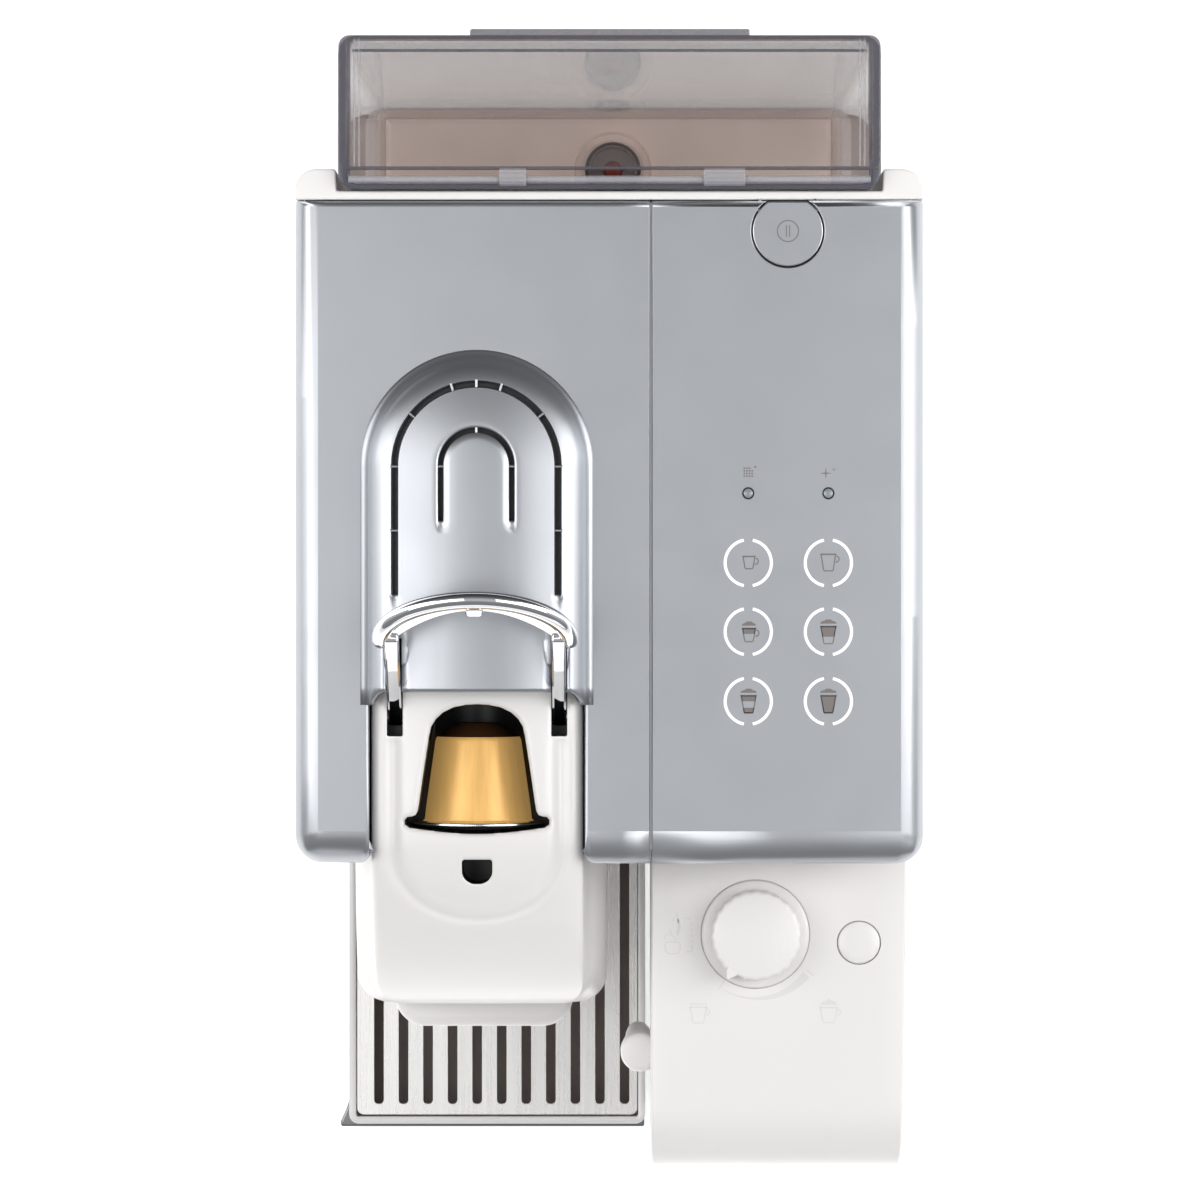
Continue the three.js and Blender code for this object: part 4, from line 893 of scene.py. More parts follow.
def print_cup(bm, center, z, size=(4.6, 3.3, 4), line=0.32, handle=True, foam=False, fill=()):
    """A small cup or glass: top width, foot width and height, with filled bands given as shares."""
    top, foot, tall = size
    low, high = -tall / 2, tall / 2

    def half(share):
        return (foot + (top - foot) * share) / 2

    for side in (-1, 1):
        print_line(bm, [(side * top / 2, high), (side * foot / 2, low + 0.3)], line, center, z)
    print_line(bm, [(-foot / 2, low + 0.15), (foot / 2, low + 0.15)], line, center, z)
    print_line(bm, [(-top / 2 - 0.2, high), (top / 2 + 0.2, high)], line * 1.3, center, z)
    for a, b in fill:
        print_shape(bm, [(-half(a), low + a * tall), (half(a), low + a * tall), (half(b), low + b * tall),
                         (-half(b), low + b * tall)], center, z)
    if handle:
        print_line(bm, arc_points((top / 2 + 0.1, high - 1.3), 0.85, 80, -100, 10), line, center, z)
    if foam:
        base = high + 0.75
        print_shape(bm, [(-top / 2 - 0.2, base), (top / 2 + 0.2, base), (top / 2 - 0.1, base + 0.55),
                         (1.2, base + 0.75), (0.6, base + 1.15), (-0.6, base + 1.15),
                         (-1.2, base + 0.75), (-top / 2 + 0.1, base + 0.55)], center, z)


# %% Touch rings
KEYS = [(x, y) for y in (14.7, -4.2, -23.3) for x in (38.1, 60.1)]
bm = bmesh.new()
for x, y in KEYS:
    for start, end in ((-79, 79), (101, 259)):
        arc = arc_points((0, 0), 6.35, start, end, 40)
        print_line(bm, arc, 0.85, (x * MM, y * MM), cover_top)
rings = piece("touch_rings", bm, "machine", ink_white)

# %% Key pictures
bm = bmesh.new()
key = [(x * MM, y * MM) for x, y in KEYS]
print_cup(bm, (key[0][0] + 0.2 * MM, key[0][1]), cover_top, (3.2, 2.2, 3.5))
print_cup(bm, (key[1][0], key[1][1]), cover_top, (4.0, 2.6, 4.7))
print_cup(bm, (key[2][0] + 0.2 * MM, key[2][1] - 1.0 * MM), cover_top, (3.6, 2.3, 3.8), foam=True,
          fill=[(0.6, 1)])
print_cup(bm, (key[3][0], key[3][1] - 1.0 * MM), cover_top, (4.2, 2.5, 4.9), handle=False, foam=True,
          fill=[(0.42, 1)])
print_cup(bm, (key[4][0] + 0.1 * MM, key[4][1] - 0.9 * MM), cover_top, (4.1, 2.5, 4.9), handle=False,
          foam=True, fill=[(0.68, 1), (0, 0.32)])
print_cup(bm, (key[5][0], key[5][1] - 0.9 * MM), cover_top, (4.2, 2.5, 4.9), handle=False, foam=True,
          fill=[(0, 1)])
for row in range(4):
    for column in range(4):
        dot = box_outline(-1.3 + column * 0.72, -0.85 + column * 0.72, -1 + row * 0.72, -0.55 + row * 0.72, 0)
        if row + column < 6:
            print_shape(bm, dot, (38.1 * MM, 39.3 * MM), cover_top)
print_shape(bm, box_outline(1.7, 2.2, 1.5, 2.0, 0), (38.1 * MM, 39.3 * MM), cover_top)
for x, y, size in ((59.4, 39.3, 1.7), (61.6, 40.3, 0.7)):
    star = [(math.cos(math.radians(a)) * (size if i % 2 == 0 else size * 0.16),
             math.sin(math.radians(a)) * (size if i % 2 == 0 else size * 0.16))
            for i, a in enumerate(range(0, 360, 45))]
    print_shape(bm, star, (x * MM, y * MM), cover_top)
piece("key_pictures", bm, "machine", ink_grey)

# %% Lamps
for name, x in (("descale_lens", 38.1), ("clean_lens", 60.1)):
    bm = bmesh.new()
    lens = [(0, 0.28), (0.7, 0.24), (1.15, 0.12), (1.3, 0.0), (1.62, 0.0), (1.66, 0.12), (1.8, 0.1),
            (1.85, -1)]
    turned(bm, [(r * MM, h * MM) for r, h in lens], (x * MM, 33.8 * MM, cover_top), segments=40)
    lamp = piece("lamp_" + name, bm, "machine", [lamp_off, grey], (name,))
    paint(lamp, 1, lambda c: math.hypot(c.x - x * MM, c.y - 33.8 * MM) > 1.3 * MM)

# %% [markdown]
# ## The power button
# A round silver key, cut off straight where it meets the back edge of the panel. It stands in its hole
# with an even gap and carries the usual ring and bar.

# %% Power button
bm = bmesh.new()
key_edge = panel_high[1] - 0.3 * MM
radius = 9.7 * MM
reach = math.degrees(math.asin((key_edge - button_y) / radius))
slab(bm, arc_points((button_x, button_y), radius, reach, -180 - reach, 64), cover_top - 5 * MM, cover_top)
power_key = piece("power_key", bm, "power_button", silver, ("power_button",))
soften(power_key, 0.35 * MM, 3)
bm = bmesh.new()
print_line(bm, arc_points((0, 0), 2.9, -180, 180, 48), 0.32, (button_x, button_y), cover_top)
print_line(bm, [(-0.45, -1.6), (-0.45, 1.6)], 0.28, (button_x, button_y), cover_top)
print_line(bm, [(0.45, -1.6), (0.45, 1.6)], 0.28, (button_x, button_y), cover_top)
piece("power_mark", bm, "power_button", ink_grey)

# %% [markdown]
# ## The body
# White side walls and a rear frame whose two ears stand beside the tank. They are plain mouldings with
# small even edge rounds, so slabs with a bevel are close to the real thing.

# %% Rear frame
rear_low, rear_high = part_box("rear_wall")
tank_low, tank_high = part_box("water_tank")
ear = tank_high[0] + 0.6 * MM
strip = tank_low[1] - 0.35 * MM
frame_plan = rounded_outline([
    (rear_low[0], rear_low[1], 0), (rear_high[0], rear_low[1], 0), (rear_high[0], rear_high[1], 6 * MM),
    (ear, rear_high[1], 1 * MM), (ear, strip, 0.6 * MM), (-ear, strip, 0.6 * MM),
    (-ear, rear_high[1], 1 * MM), (rear_low[0], rear_high[1], 6 * MM)], 10)
bm = bmesh.new()
slab(bm, frame_plan, rear_low[2], rear_high[2])
rear_frame = piece("rear_frame", bm, "machine", soft_white, ("rear_wall",))
soften(rear_frame, 0.8 * MM, 4, 50)

# %% Side walls
for side in ("left", "right"):
    low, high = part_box(side + "_side_cover")
    bm = bmesh.new()
    block(bm, low, high)
    outer_x = low[0] if side == "left" else high[0]
    for z in (60 * MM, 205 * MM):
        whole = bm.verts[:] + bm.edges[:] + bm.faces[:]
        bmesh.ops.bisect_plane(bm, geom=whole, plane_co=(0, 0, z), plane_no=(0, 0, 1))
    panel_faces = [f for f in bm.faces if abs(f.calc_center_median().x - outer_x) < 1e-5
                   and 60 * MM < f.calc_center_median().z < 205 * MM]
    bmesh.ops.inset_region(bm, faces=panel_faces, thickness=8 * MM, depth=0)
    bmesh.ops.inset_region(bm, faces=panel_faces, thickness=0.8 * MM, depth=-0.8 * MM)
    wall = piece(side + "_side_wall", bm, "machine", white, (side + "_side_cover",))
    soften(wall, 1.2 * MM, 4, 50)


# %% [markdown]
# ## Vessels
# The tank, the milk container, the drip tray and the capsule bin are all thin walled boxes with round
# corners that widen a little towards the rim. One helper lofts the outside, folds over the rim and goes
# back down the inside, so each vessel is one closed skin.

# %% Vessel helper
def ring_outline(low, high, inset, radius, steps=8):
    return box_outline(low[0] + inset, high[0] - inset, low[1] + inset, high[1] - inset,
                       max(radius - inset, 0.4 * MM), steps)


def vessel(bm, low, high, wall, radius, draft=0.0, floor=None, rim=0.3 * MM, foot=2 * MM):
    """Low and high are the outer corners; draft is how far each wall leans in at the bottom."""
    tall = high[2] - low[2]
    floor = floor or wall

    def lean(z):
        return draft * (1 - (z - low[2]) / tall)

    levels = [(lean(low[2]) + foot, low[2]), (lean(low[2]) + foot * 0.3, low[2] + foot * 0.3),
              (lean(low[2] + foot), low[2] + foot)]
    levels += [(lean(low[2] + tall * s), low[2] + tall * s) for s in (0.3, 0.6, 0.9)]
    levels += [(lean(high[2]), high[2] - rim), (rim, high[2]), (wall - rim, high[2]), (wall, high[2] - rim)]
    levels += [(wall + lean(low[2] + tall * s), low[2] + tall * s) for s in (0.9, 0.6, 0.3)]
    levels += [(wall + lean(low[2] + floor + foot), low[2] + floor + foot),
               (wall + lean(low[2]) + foot * 0.3, low[2] + floor + foot * 0.3),
               (wall + lean(low[2]) + foot, low[2] + floor)]
    rings = []
    for inset, z in levels:
        outline = ring_outline(low, high, inset, radius)
        rings.append([bm.verts.new((x, y, z)) for x, y in outline])
    for ring0, ring1 in zip(rings, rings[1:]):
        for k in range(len(ring0)):
            n = (k + 1) % len(ring0)
            bm.faces.new((ring0[k], ring0[n], ring1[n], ring1[k]))
    bm.faces.new(rings[0][::-1])
    bm.faces.new(rings[-1])


# %% [markdown]
# ## The water tank
# A smoky clear tank hangs behind the body. Walls, floor, lid and rim are see-through by their opacity,
# each with its own tint. The rim is the darkest, because there the eye looks down through the whole
# height of the plastic. The floor is painted pale and warm and given a faint glow: painted light for
# the light that comes in through the clear walls and floor.

# %% Tank
bm = bmesh.new()
tank_floor = 31 * MM
vessel(bm, (tank_low[0], tank_low[1], tank_floor), (tank_high[0], tank_high[1], 249.9 * MM), 2.2 * MM,
       5 * MM, draft=2.5 * MM, floor=2.4 * MM)
tank = piece("smoky_tank", bm, "tank", [smoky, smoky_floor_painted_light], ("water_tank",), sharp=60)
# The floor faces take the pale glowing finish, which is painted light.
paint(tank, 1, lambda c: c.z < tank_floor + 2.8 * MM)
bm = bmesh.new()
rim_z = (244 * MM, 250 * MM)
rim_hole = box_outline(tank_low[0] + 3.3 * MM, tank_high[0] - 3.3 * MM, tank_low[1] + 1.5 * MM,
                       tank_high[1] - 1.1 * MM, 2 * MM)
slab(bm, box_outline(tank_low[0], tank_high[0], tank_low[1], tank_high[1], 5 * MM), *rim_z, holes=[rim_hole])
rim = piece("tank_rim", bm, "tank", smoky_rim)
soften(rim, 0.45 * MM, 3, 40)

# %% Tank socket and valve
valve_low, valve_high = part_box("tank_valve")
valve = ((valve_low[0] + valve_high[0]) / 2, (valve_low[1] + valve_high[1]) / 2)
bm = bmesh.new()
collar = [(12.5, 0), (12.5, 1.2), (12.1, 1.6), (11.6, 1.2), (11.4, 0.3), (9.6, 0.3), (9.4, 0)]
turned(bm, [(r * MM, h * MM) for r, h in collar], (*valve, 33.4 * MM), segments=72)
# The collar shares the tank floor's finish, so it carries the same painted light.
socket = piece("valve_collar", bm, "tank", smoky_floor_painted_light)
bm = bmesh.new()
stem = [(0, -11), (3.4, -11), (3.8, -10.5), (3.8, -3), (7.4, -2.6), (8.6, -1.6), (8.7, 3.6), (8.3, 4.4),
        (7.6, 4.6), (7.1, 4.2), (6.9, 1), (3, 0.8), (2.4, 3.2), (1.2, 3.9), (0, 4)]
turned(bm, [(r * MM, h * MM) for r, h in stem], (*valve, 35 * MM), segments=64)
seal = finish("red_seal", (0.35, 0.05, 0.03), 0.4, drift=0.05)
warm_cup = finish("valve_cup", (0.34, 0.27, 0.24), 0.35, drift=0.08)
valve_piece = piece("water_valve", bm, "tank_valve", [black, seal, warm_cup], ("tank_valve",),
                    sharp=40)
paint(valve_piece, 2, lambda c: math.hypot(c.x - valve[0], c.y - valve[1]) < 7.4 * MM and c.z > 34 * MM)
paint(valve_piece, 1, lambda c: math.hypot(c.x - valve[0], c.y - valve[1]) < 3 * MM and c.z > 35.8 * MM)

# %% Tank lid
lid_low, lid_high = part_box("tank_lid")
rod_low, rod_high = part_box("tank_hinge_rod")
hinge = ((rod_low[1] + rod_high[1]) / 2, (rod_low[2] + rod_high[2]) / 2)
lid_front = hinge[0] + 2.6 * MM
lid_rear = tank_high[1]
TAB = (-38.8 * MM, 39 * MM)
lid_plan = rounded_outline([
    (lid_low[0], lid_front, 0.5 * MM), (lid_high[0], lid_front, 0.5 * MM), (lid_high[0], lid_rear, 4 * MM),
    (TAB[1], lid_rear, 0.8 * MM), (TAB[1], lid_high[1], 1 * MM), (TAB[0], lid_high[1], 1 * MM),
    (TAB[0], lid_rear, 0.8 * MM), (lid_low[0], lid_rear, 4 * MM)], 6)
bm = bmesh.new()
slab(bm, lid_plan, 252.5 * MM, lid_high[2])
lid = piece("clear_lid", bm, "tank_lid", [smoky_sheet, smoky_rim], ("tank_lid",))
soften(lid, 0.6 * MM, 3, 40)
bm = bmesh.new()
skirt_hole = box_outline(lid_low[0] + 2.6 * MM, lid_high[0] - 2.6 * MM, lid_front + 0.9 * MM,
                         lid_rear - 1.2 * MM, 1.5 * MM)
slab(bm, box_outline(lid_low[0] + 0.2 * MM, lid_high[0] - 0.2 * MM, lid_front, lid_rear - 0.2 * MM, 3 * MM),
     lid_low[2], 252.45 * MM, holes=[skirt_hole])
skirt = piece("lid_skirt", bm, "tank_lid", smoky_rim)
soften(skirt, 0.4 * MM, 3, 40)
bm = bmesh.new()
finger_plan = box_outline(TAB[0] + 0.6 * MM, TAB[1] - 0.6 * MM, lid_rear - 0.6 * MM,
                          lid_high[1] - 0.4 * MM, 0.6 * MM)
slab(bm, finger_plan, 251.3 * MM, 252.4 * MM)
seal_line = (lid_rear - 4.4 * MM, 251.9 * MM)
rod(bm, (lid_low[0] + 4 * MM, *seal_line), (lid_high[0] - 4 * MM, *seal_line), 0.4 * MM, 16)
finger_tab = piece("finger_tab", bm, "tank_lid", smoky_rim)
soften(finger_tab, 0.3 * MM, 3, 40)
bm = bmesh.new()
for x in (lid_low[0] + 4.6 * MM, lid_low[0] + 5.9 * MM, lid_high[0] - 4.6 * MM, lid_high[0] - 5.9 * MM):
    rod(bm, (x, lid_front + 1 * MM, 252 * MM), (x, lid_rear - 1 * MM, 252 * MM), 0.32 * MM, 16)
piece("lid_ribs", bm, "tank_lid", clear_rib)

# %% Lid hinge
bm = bmesh.new()
rod(bm, (rod_low[0], *hinge), (rod_high[0], *hinge), 0.7 * MM, 24)
for x0, x1 in ((rod_low[0], -30.6), (-22.4, 25.4), (37.6, rod_high[0])):
    x0, x1 = [v if abs(v) < 1 else v * MM for v in (x0, x1)]
    rod(bm, (x0, *hinge), (x1, *hinge), 1.0 * MM, 32)
hinge_bar = piece("hinge_bar", bm, "tank", clear_rib, ("tank_hinge_rod",))
soften(hinge_bar, 0.3 * MM, 2, 40)
bm = bmesh.new()
for x0, x1 in ((-30.2, -22.8), (25.8, 37.2)):
    rod(bm, (x0 * MM, *hinge), (x1 * MM, *hinge), 1.9 * MM, 32)
    block(bm, (x0 * MM, hinge[0], 251.6 * MM), (x1 * MM, lid_front + 0.4 * MM, 254.3 * MM))
knuckles = piece("lid_knuckles", bm, "tank_lid", clear_rib)
soften(knuckles, 0.35 * MM, 2, 40)

# %% [markdown]
# ## The drip tray
# A white tray with a brushed steel grid stands under the outlet. A metal skirt runs round its foot
# and flares out at the front corner.

# %% Tray
tray_low, tray_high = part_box("drip_tray")
bm = bmesh.new()
vessel(bm, tray_low, tray_high, 2.2 * MM, 3 * MM)
piece("tray_tub", bm, "drip_tray", white, ("drip_tray",), sharp=60)
trim_low, trim_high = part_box("tray_trim")
bm = bmesh.new()
edge_x = tray_low[0] - 0.4 * MM
curve = [(edge_x, -140), (edge_x - 0.4 * MM, -148), (edge_x - 1.3 * MM, -154), (trim_low[0], -159.5)]
trim_plan = [(x, y * MM) for x, y in smooth([(x, y) for x, y in curve], 6)]
trim_plan = [(edge_x, trim_high[1])] + trim_plan + [(trim_low[0], trim_low[1]), (trim_high[0], trim_low[1]),
                                                    (trim_high[0], trim_high[1])]
slab(bm, trim_plan, trim_low[2], trim_high[2])
trim = piece("tray_skirt", bm, "drip_tray", satin_bar, ("tray_trim",))
soften(trim, 0.7 * MM, 3, 40)

# %% Grid
grid_low, grid_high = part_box("drip_grid")
SLOT_PITCH, SLOT_WIDTH, SLOTS, FIRST_SLOT = 7.6, 3.0, 11, -71
slots = []
for i in range(SLOTS):
    x = FIRST_SLOT + i * SLOT_PITCH
    slots.append(box_outline((x - SLOT_WIDTH / 2) * MM, (x + SLOT_WIDTH / 2) * MM, -151.4 * MM,
                             grid_high[1] - 5 * MM, 1.2 * MM, 6))
bm = bmesh.new()
slab(bm, box_outline(grid_low[0], grid_high[0], grid_low[1], grid_high[1], 2 * MM), grid_low[2], grid_high[2],
     holes=slots)
drip_grid = piece("steel_grid", bm, "drip_grid", brushed, ("drip_grid",))
soften(drip_grid, 0.3 * MM, 3, 40)
# The sheet under the grid is painted a brown grey: painted shade for the shadowed inside of the white tray,
# not a wet floor.
tray_floor_painted_shade = finish("painted_shade_tray_floor", (0.24, 0.20, 0.175), 0.45, drift=0.2, grain=400)
bm = bmesh.new()
inside = 3 * MM
block(bm, (tray_low[0] + inside, tray_low[1] + inside, 17 * MM), (tray_high[0] - inside, -70 * MM, 18 * MM))
piece("tray_floor", bm, "drip_tray", tray_floor_painted_shade)

# %% Bin and cup shelf
bin_low, bin_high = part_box("used_capsule_bin")
bm = bmesh.new()
shelf_low, shelf_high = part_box("cup_shelf")
fold = joints["cup_shelf_fold"]["pos_m"]
vessel(bm, (bin_low[0], shelf_high[1] + 0.3 * MM, bin_low[2]), bin_high, 2 * MM, 4 * MM)
for x0, x1 in ((bin_low[0], shelf_low[0] - 0.8 * MM), (shelf_high[0] + 0.8 * MM, bin_high[0])):
    block(bm, (x0, bin_low[1], fold[2] - 3 * MM), (x1, shelf_high[1] + 1 * MM, fold[2] + 3 * MM))
piece("capsule_bin_tub", bm, "capsule_bin", black, ("used_capsule_bin",), sharp=60)
bm = bmesh.new()
leaf_front, leaf_back = fold[1] - 1.2 * MM, fold[1] + 1.0 * MM
block(bm, (shelf_low[0], leaf_front, shelf_low[2]), (shelf_high[0], leaf_back, fold[2] - 1 * MM))
front_faces = [f for f in bm.faces if abs(f.calc_center_median().y - leaf_front) < 1e-6]
bmesh.ops.inset_region(bm, faces=front_faces, thickness=4 * MM, depth=0)
bmesh.ops.inset_region(bm, faces=front_faces, thickness=0.6 * MM, depth=-0.6 * MM)
rod(bm, (shelf_low[0], *fold[1:]), (shelf_high[0], *fold[1:]), (shelf_high[1] - fold[1]), 32)
cup_shelf = piece("folding_cup_shelf", bm, "cup_shelf", grey, ("cup_shelf",))
soften(cup_shelf, 0.4 * MM, 3, 50)

# %% [markdown]
# ## The milk jug
# The jug's lid is a flat white moulding that turns down at the front. It carries the froth knob, a
# round button with a fine gap, and the swinging spout. The clear container clips on below.

# %% Jug lid profile
jug_low, jug_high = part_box("milk_lid")
knob_low, knob_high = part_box("froth_knob")
clean_low, clean_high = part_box("clean_button")
knob = ((knob_low[0] + knob_high[0]) / 2, (knob_low[1] + knob_high[1]) / 2)
clean = ((clean_low[0] + clean_high[0]) / 2, (clean_low[1] + clean_high[1]) / 2)
front_y, back_y = jug_low[1] / MM, jug_high[1] / MM
side_view = [(back_y, 166), (back_y, 204.2), (back_y - 0.25, 204.8), (back_y - 0.8, 205)]
side_view += [(-80, 205), (-100, 205), (-120, 205), (-138.5, 205)]
side_view += smooth([(-141, 204.9), (-145, 204.2), (-149.5, 202.2), (-153, 198.8), (-155.4, 193.5),
                     (front_y, 186.5)], 5)
side_view += [(front_y, 178), (front_y + 0.1, 167), (front_y + 0.8, 166)]
bm = bmesh.new()
columns = np.linspace(jug_low[0], jug_high[0], 9)
sections = [[bm.verts.new((x, y * MM, z * MM)) for y, z in side_view] for x in columns]
for a, b in zip(sections, sections[1:]):
    for k in range(len(a)):
        n = (k + 1) % len(a)
        bm.faces.new((a[k], a[n], b[n], b[k]))
bm.faces.new(sections[0])
bm.faces.new(sections[-1][::-1])
for vert in bm.verts:
    share = min(max((back_y - vert.co.y / MM) / (back_y - front_y), 0), 1)
    across_share = (vert.co.x - jug_low[0]) / (jug_high[0] - jug_low[0])
    vert.co.x -= 1.7 * MM * share * across_share
bmesh.ops.recalc_face_normals(bm, faces=bm.faces)
side_edges = [e for e in bm.edges if len(e.link_faces) == 2 and e.calc_face_angle() > 1.4
              and abs(e.link_faces[0].normal.x) + abs(e.link_faces[1].normal.x) > 0.9
              and min(v.co.z for v in e.verts) > 167 * MM]
bmesh.ops.bevel(bm, geom=side_edges, offset=0.9 * MM, segments=5, profile=0.5, affect="EDGES", material=-1)
lid_mesh = bpy.data.meshes.new("jug_lid_uncut")
bm.to_mesh(lid_mesh)
bm.free()
lid_mesh.materials.append(white)

# %% Jug lid recesses
bm = bmesh.new()
rod(bm, (*knob, 204.1 * MM), (*knob, 220 * MM), 15.42 * MM, 96)
rod(bm, (*clean, 203.2 * MM), (*clean, 220 * MM), 6.22 * MM, 64)
recess_mesh = bpy.data.meshes.new("jug_lid_recesses")
bm.to_mesh(recess_mesh)
bm.free()
recess_mesh.materials.append(white)
bm = bmesh.new()
bm.from_mesh(carved(lid_mesh, recess_mesh))
piece("jug_lid", bm, "milk_jug", white, ("milk_lid",), sharp=35)

# %% Froth knob
bm = bmesh.new()
base = [(0, -0.7), (14.9, -0.7), (15.2, -0.4), (15.25, 0.5), (15.0, 0.95), (14.5, 1.15), (13.4, 1.3),
        (12.0, 1.4), (0, 1.4)]
turned(bm, [(r * MM, h * MM) for r, h in base], (*knob, 204.9 * MM), segments=96)
grip = []
for i in range(240):
    angle = 2 * math.pi * i / 240
    reach = (12.7 - 0.32 * abs(math.sin(angle * 12)) ** 1.4) * MM
    grip.append((knob[0] + reach * math.cos(angle), knob[1] + reach * math.sin(angle)))
levels = [(1.0, 206.2), (1.0, 212.6), (0.992, 213.3), (0.975, 213.9), (0.94, 214.2), (0.9, 214.3)]
rings = [[bm.verts.new((knob[0] + (x - knob[0]) * s, knob[1] + (y - knob[1]) * s, z * MM)) for x, y in grip]
         for s, z in levels]
for ring0, ring1 in zip(rings, rings[1:]):
    for k in range(len(ring0)):
        n = (k + 1) % len(ring0)
        bm.faces.new((ring0[k], ring0[n], ring1[n], ring1[k]))
bm.faces.new(rings[0][::-1])
bm.faces.new(rings[-1])
pointer_angle = math.radians(236)
tip = [(knob[0] + r * MM * math.cos(pointer_angle + d), knob[1] + r * MM * math.sin(pointer_angle + d))
       for r, d in ((8.2, 0), (12.4, -0.13), (14.4, -0.02), (14.4, 0.02), (12.4, 0.13))]
slab(bm, tip, 206 * MM, 214.25 * MM)
piece("froth_dial", bm, "froth_knob", white, ("froth_knob",), sharp=40)

# %% Clean button
bm = bmesh.new()
cap = [(0, -3), (5.9, -3), (6.0, -1), (6.0, -0.15), (5.85, 0.25), (5.4, 0.45), (3.5, 0.6), (0, 0.62)]
turned(bm, [(r * MM, h * MM) for r, h in cap], (*clean, 204.9 * MM), segments=72)
piece("clean_key", bm, "clean_button", white, ("clean_button",), sharp=50)

# %% Jug prints
bm = bmesh.new()
jug_z = 205 * MM
print_cup(bm, (25.1 * MM, -112.6 * MM), jug_z, (4.6, 3.0, 4.6), line=0.3)
print_line(bm, [(-2.4, 3.2), (2.4, 3.2)], 0.3, (25.1 * MM, -112.6 * MM), jug_z)
print_cup(bm, (61.9 * MM, -112.6 * MM), jug_z, (4.8, 3.2, 4.4), line=0.3)
print_shape(bm, [(-2.2, 3.0), (2.4, 3.0), (2.0, 3.8), (0.9, 4.1), (0, 4.8), (-0.9, 4.1), (-1.9, 3.8)],
            (61.9 * MM, -112.6 * MM), jug_z)
scale_out = arc_points((0, 0), 19.2, 238, 318, 40)
scale_in = [(math.cos(math.radians(a)) * (19.0 - 2.3 * ((a - 238) / 80) ** 1.3),
             math.sin(math.radians(a)) * (19.0 - 2.3 * ((a - 238) / 80) ** 1.3)) for a in range(318, 237, -2)]
print_shape(bm, scale_out + scale_in, (knob[0] + 1 * MM, knob[1] + 0.6 * MM), jug_z)
for a in (235, 321.5):
    c, s = math.cos(math.radians(a)), math.sin(math.radians(a))
    print_line(bm, [(17.0 * c, 17.0 * s), (19.8 * c, 19.8 * s)], 0.35, (knob[0] + 1 * MM, knob[1] + 0.6 * MM),
               jug_z)
bracket = (22.6 * MM, -89.6 * MM)
print_line(bm, [(-1.5, 4.4), (0.4, 4.2)], 0.32, bracket, jug_z)
print_line(bm, [(-1.2, -5.2), (0.8, -4.9), (0.9, -3.8)], 0.32, bracket, jug_z)
for k in range(5):
    dash_top = 3.0 - 1.55 * k
    print_line(bm, [(0.55 + 0.05 * k, dash_top), (0.58 + 0.05 * k, dash_top - 0.8)], 0.32, bracket, jug_z)
spout_mark = (17.9 * MM, -90.6 * MM)
print_line(bm, rounded_outline([(-2.2, -1.3, 0.9), (2.2, -1.3, 0.9), (2.0, -4.6, 1.2), (-2.0, -4.6, 1.2)], 5)
           + [(-2.2, -2.2)], 0.26, spout_mark, jug_z)
print_line(bm, [(-2.3, -0.6), (-2.0, 0.6), (-0.8, 1.0), (0.2, 0.2), (1.0, -0.8)], 0.26, spout_mark, jug_z)
print_line(bm, [(-0.9, 2.2), (-0.2, 1.1)], 0.26, spout_mark, jug_z)
print_line(bm, [(1.2, 0.6), (1.9, 2.8), (1.4, 5.2)], 0.8, spout_mark, jug_z)
print_line(bm, [(0.0, 4.4), (1.2, 6.9), (1.6, 4.2)], 0.26, spout_mark, jug_z)
piece("jug_prints", bm, "milk_jug", ink_pale)

# %% Spout
spout_low, spout_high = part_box("milk_spout")
spout_x, spout_y = 8.9 * MM, (spout_low[1] + spout_high[1]) / 2
bm = bmesh.new()
tube = [(0, 76.9), (3.6, 76.8), (4.9, 76.4), (5.4, 75.6), (5.6, 74.2), (5.6, 66), (5.3, 58), (4.4, 40),
        (3.9, 12), (3.5, 0.5), (3.2, 0), (2.5, 0), (2.4, 0.5), (2.4, 6), (0, 6)]
turned(bm, [(r * MM, h * MM) for r, h in tube], (spout_x, spout_y, spout_low[2]), segments=64)
whole = bm.verts[:] + bm.edges[:] + bm.faces[:]
cut = bmesh.ops.bisect_plane(bm, geom=whole, plane_co=(12.3 * MM, 0, 0), plane_no=(1, 0, 0), clear_outer=True)
bmesh.ops.holes_fill(bm, edges=[e for e in bm.edges if e.is_boundary])
rod(bm, (10 * MM, spout_y, 176 * MM), (spout_high[0], spout_y, 176 * MM), 3.4 * MM, 32)
spout = piece("milk_spout_arm", bm, "milk_spout", soft_white, ("milk_spout",), sharp=45)

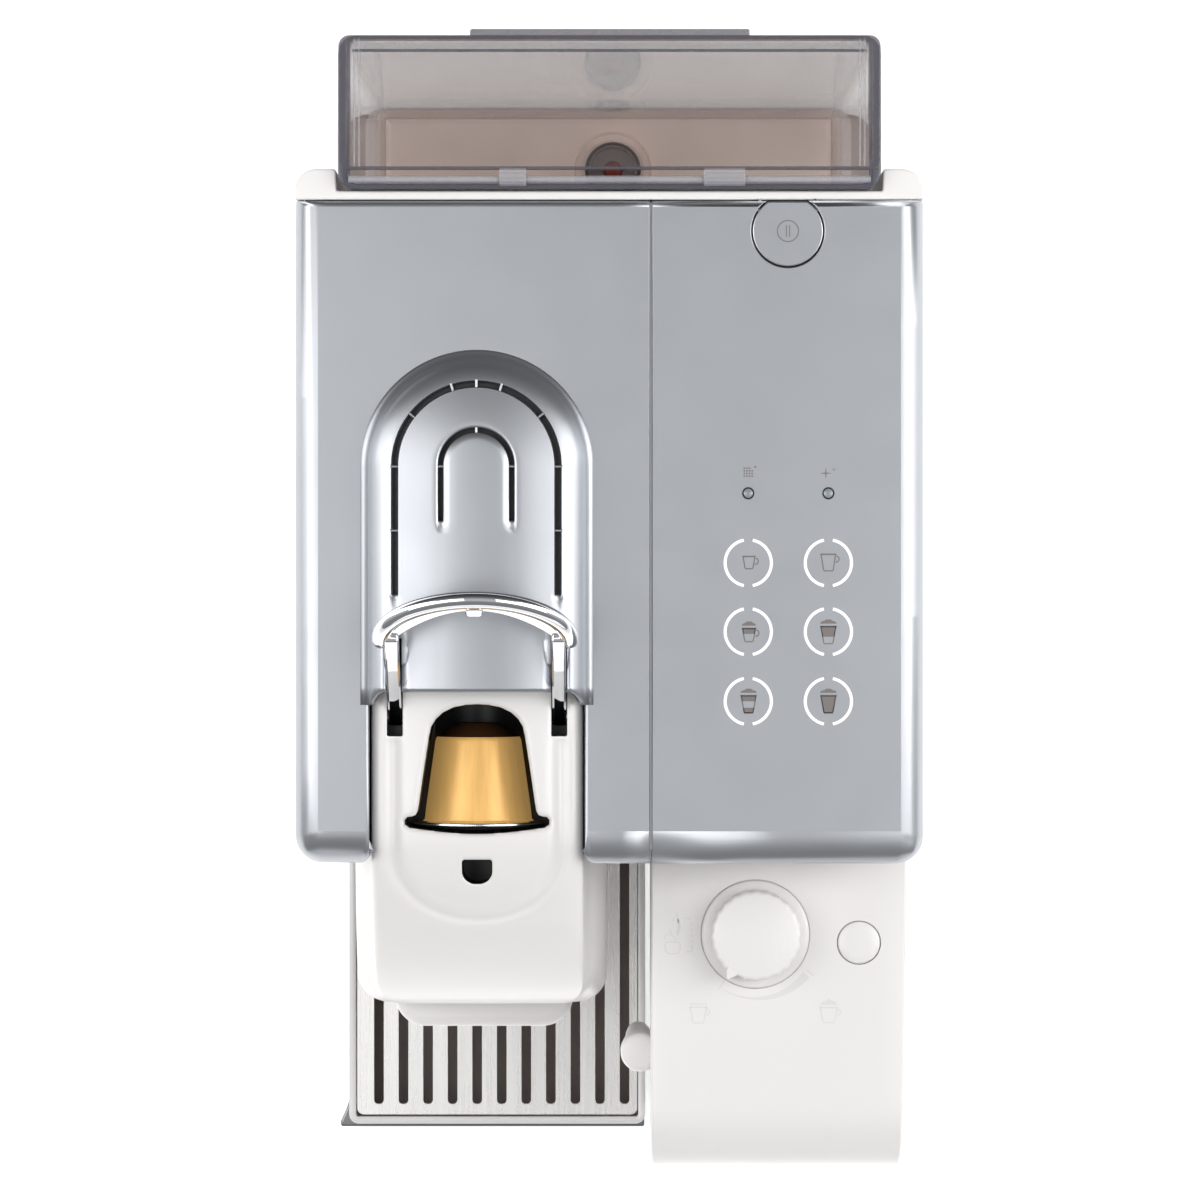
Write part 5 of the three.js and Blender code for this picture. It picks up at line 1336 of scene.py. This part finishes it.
# %% Container
can_low, can_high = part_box("milk_container")
bm = bmesh.new()
vessel(bm, can_low, can_high, 2.2 * MM, 8 * MM, draft=1.5 * MM)
piece("milk_container_tub", bm, "milk_container", frosted, ("milk_container",),
      sharp=60)

# %% Release buttons
for side in ("left", "right"):
    low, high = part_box("release_button_" + side)
    outward = -1 if side == "left" else 1
    outer_x = low[0] if side == "left" else high[0]
    inner_x = high[0] if side == "left" else low[0]
    depth = abs(outer_x - inner_x) / MM
    disc = [(0, 0), (7, 0), (7, depth - 0.5), (6.5, depth), (5.6, depth), (5.2, depth - 0.35), (4.6, depth),
            (3.9, depth), (3.5, depth - 0.35), (2.9, depth), (0, depth)]
    bm = bmesh.new()
    turned(bm, [(r * MM, h * MM) for r, h in disc], (inner_x, (low[1] + high[1]) / 2, (low[2] + high[2]) / 2),
           (outward, 0, 0), 56)
    piece("release_key_" + side, bm, "release_button_" + side, soft_white, ("release_button_" + side,),
          sharp=40)

# %% [markdown]
# ## Feet and the rest
# The feet are turned rubber pads. Everything else keeps its frame mesh, which is already the right
# shape, and takes the finish of its material.

# %% Feet
for corner in ("front_left", "front_right", "rear_left", "rear_right"):
    low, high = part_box("foot_" + corner)
    pad = [(0, 0), (6.6, 0), (7.4, 0.2), (7.9, 0.8), (8, 1.6), (8, 2.7), (0, 2.7)]
    bm = bmesh.new()
    turned(bm, [(r * MM, h * MM) for r, h in pad], ((low[0] + high[0]) / 2, (low[1] + high[1]) / 2, 0))
    piece("rubber_" + corner, bm, "machine", rubber, ("foot_" + corner,))

# %% Finishes of the kept nodes
FINISH_OF = {"silver": silver, "white": soft_white, "black": black, "chrome": chrome, "steel": brushed,
             "dark_metal": cast_metal, "gold": gold, "rubber": rubber, "smoky_clear": smoky,
             "frosted_clear": frosted, "board": board_green, "grey_plastic": grey}
for row in frame["record"]["subparts"]:
    node = frame["nodes"][row["node"]]
    if not node.data.materials:
        node.data.materials.append(FINISH_OF[row["material_slot"]])
    for index in range(len(node.data.materials)):
        node.data.materials[index] = FINISH_OF[row["material_slot"]]
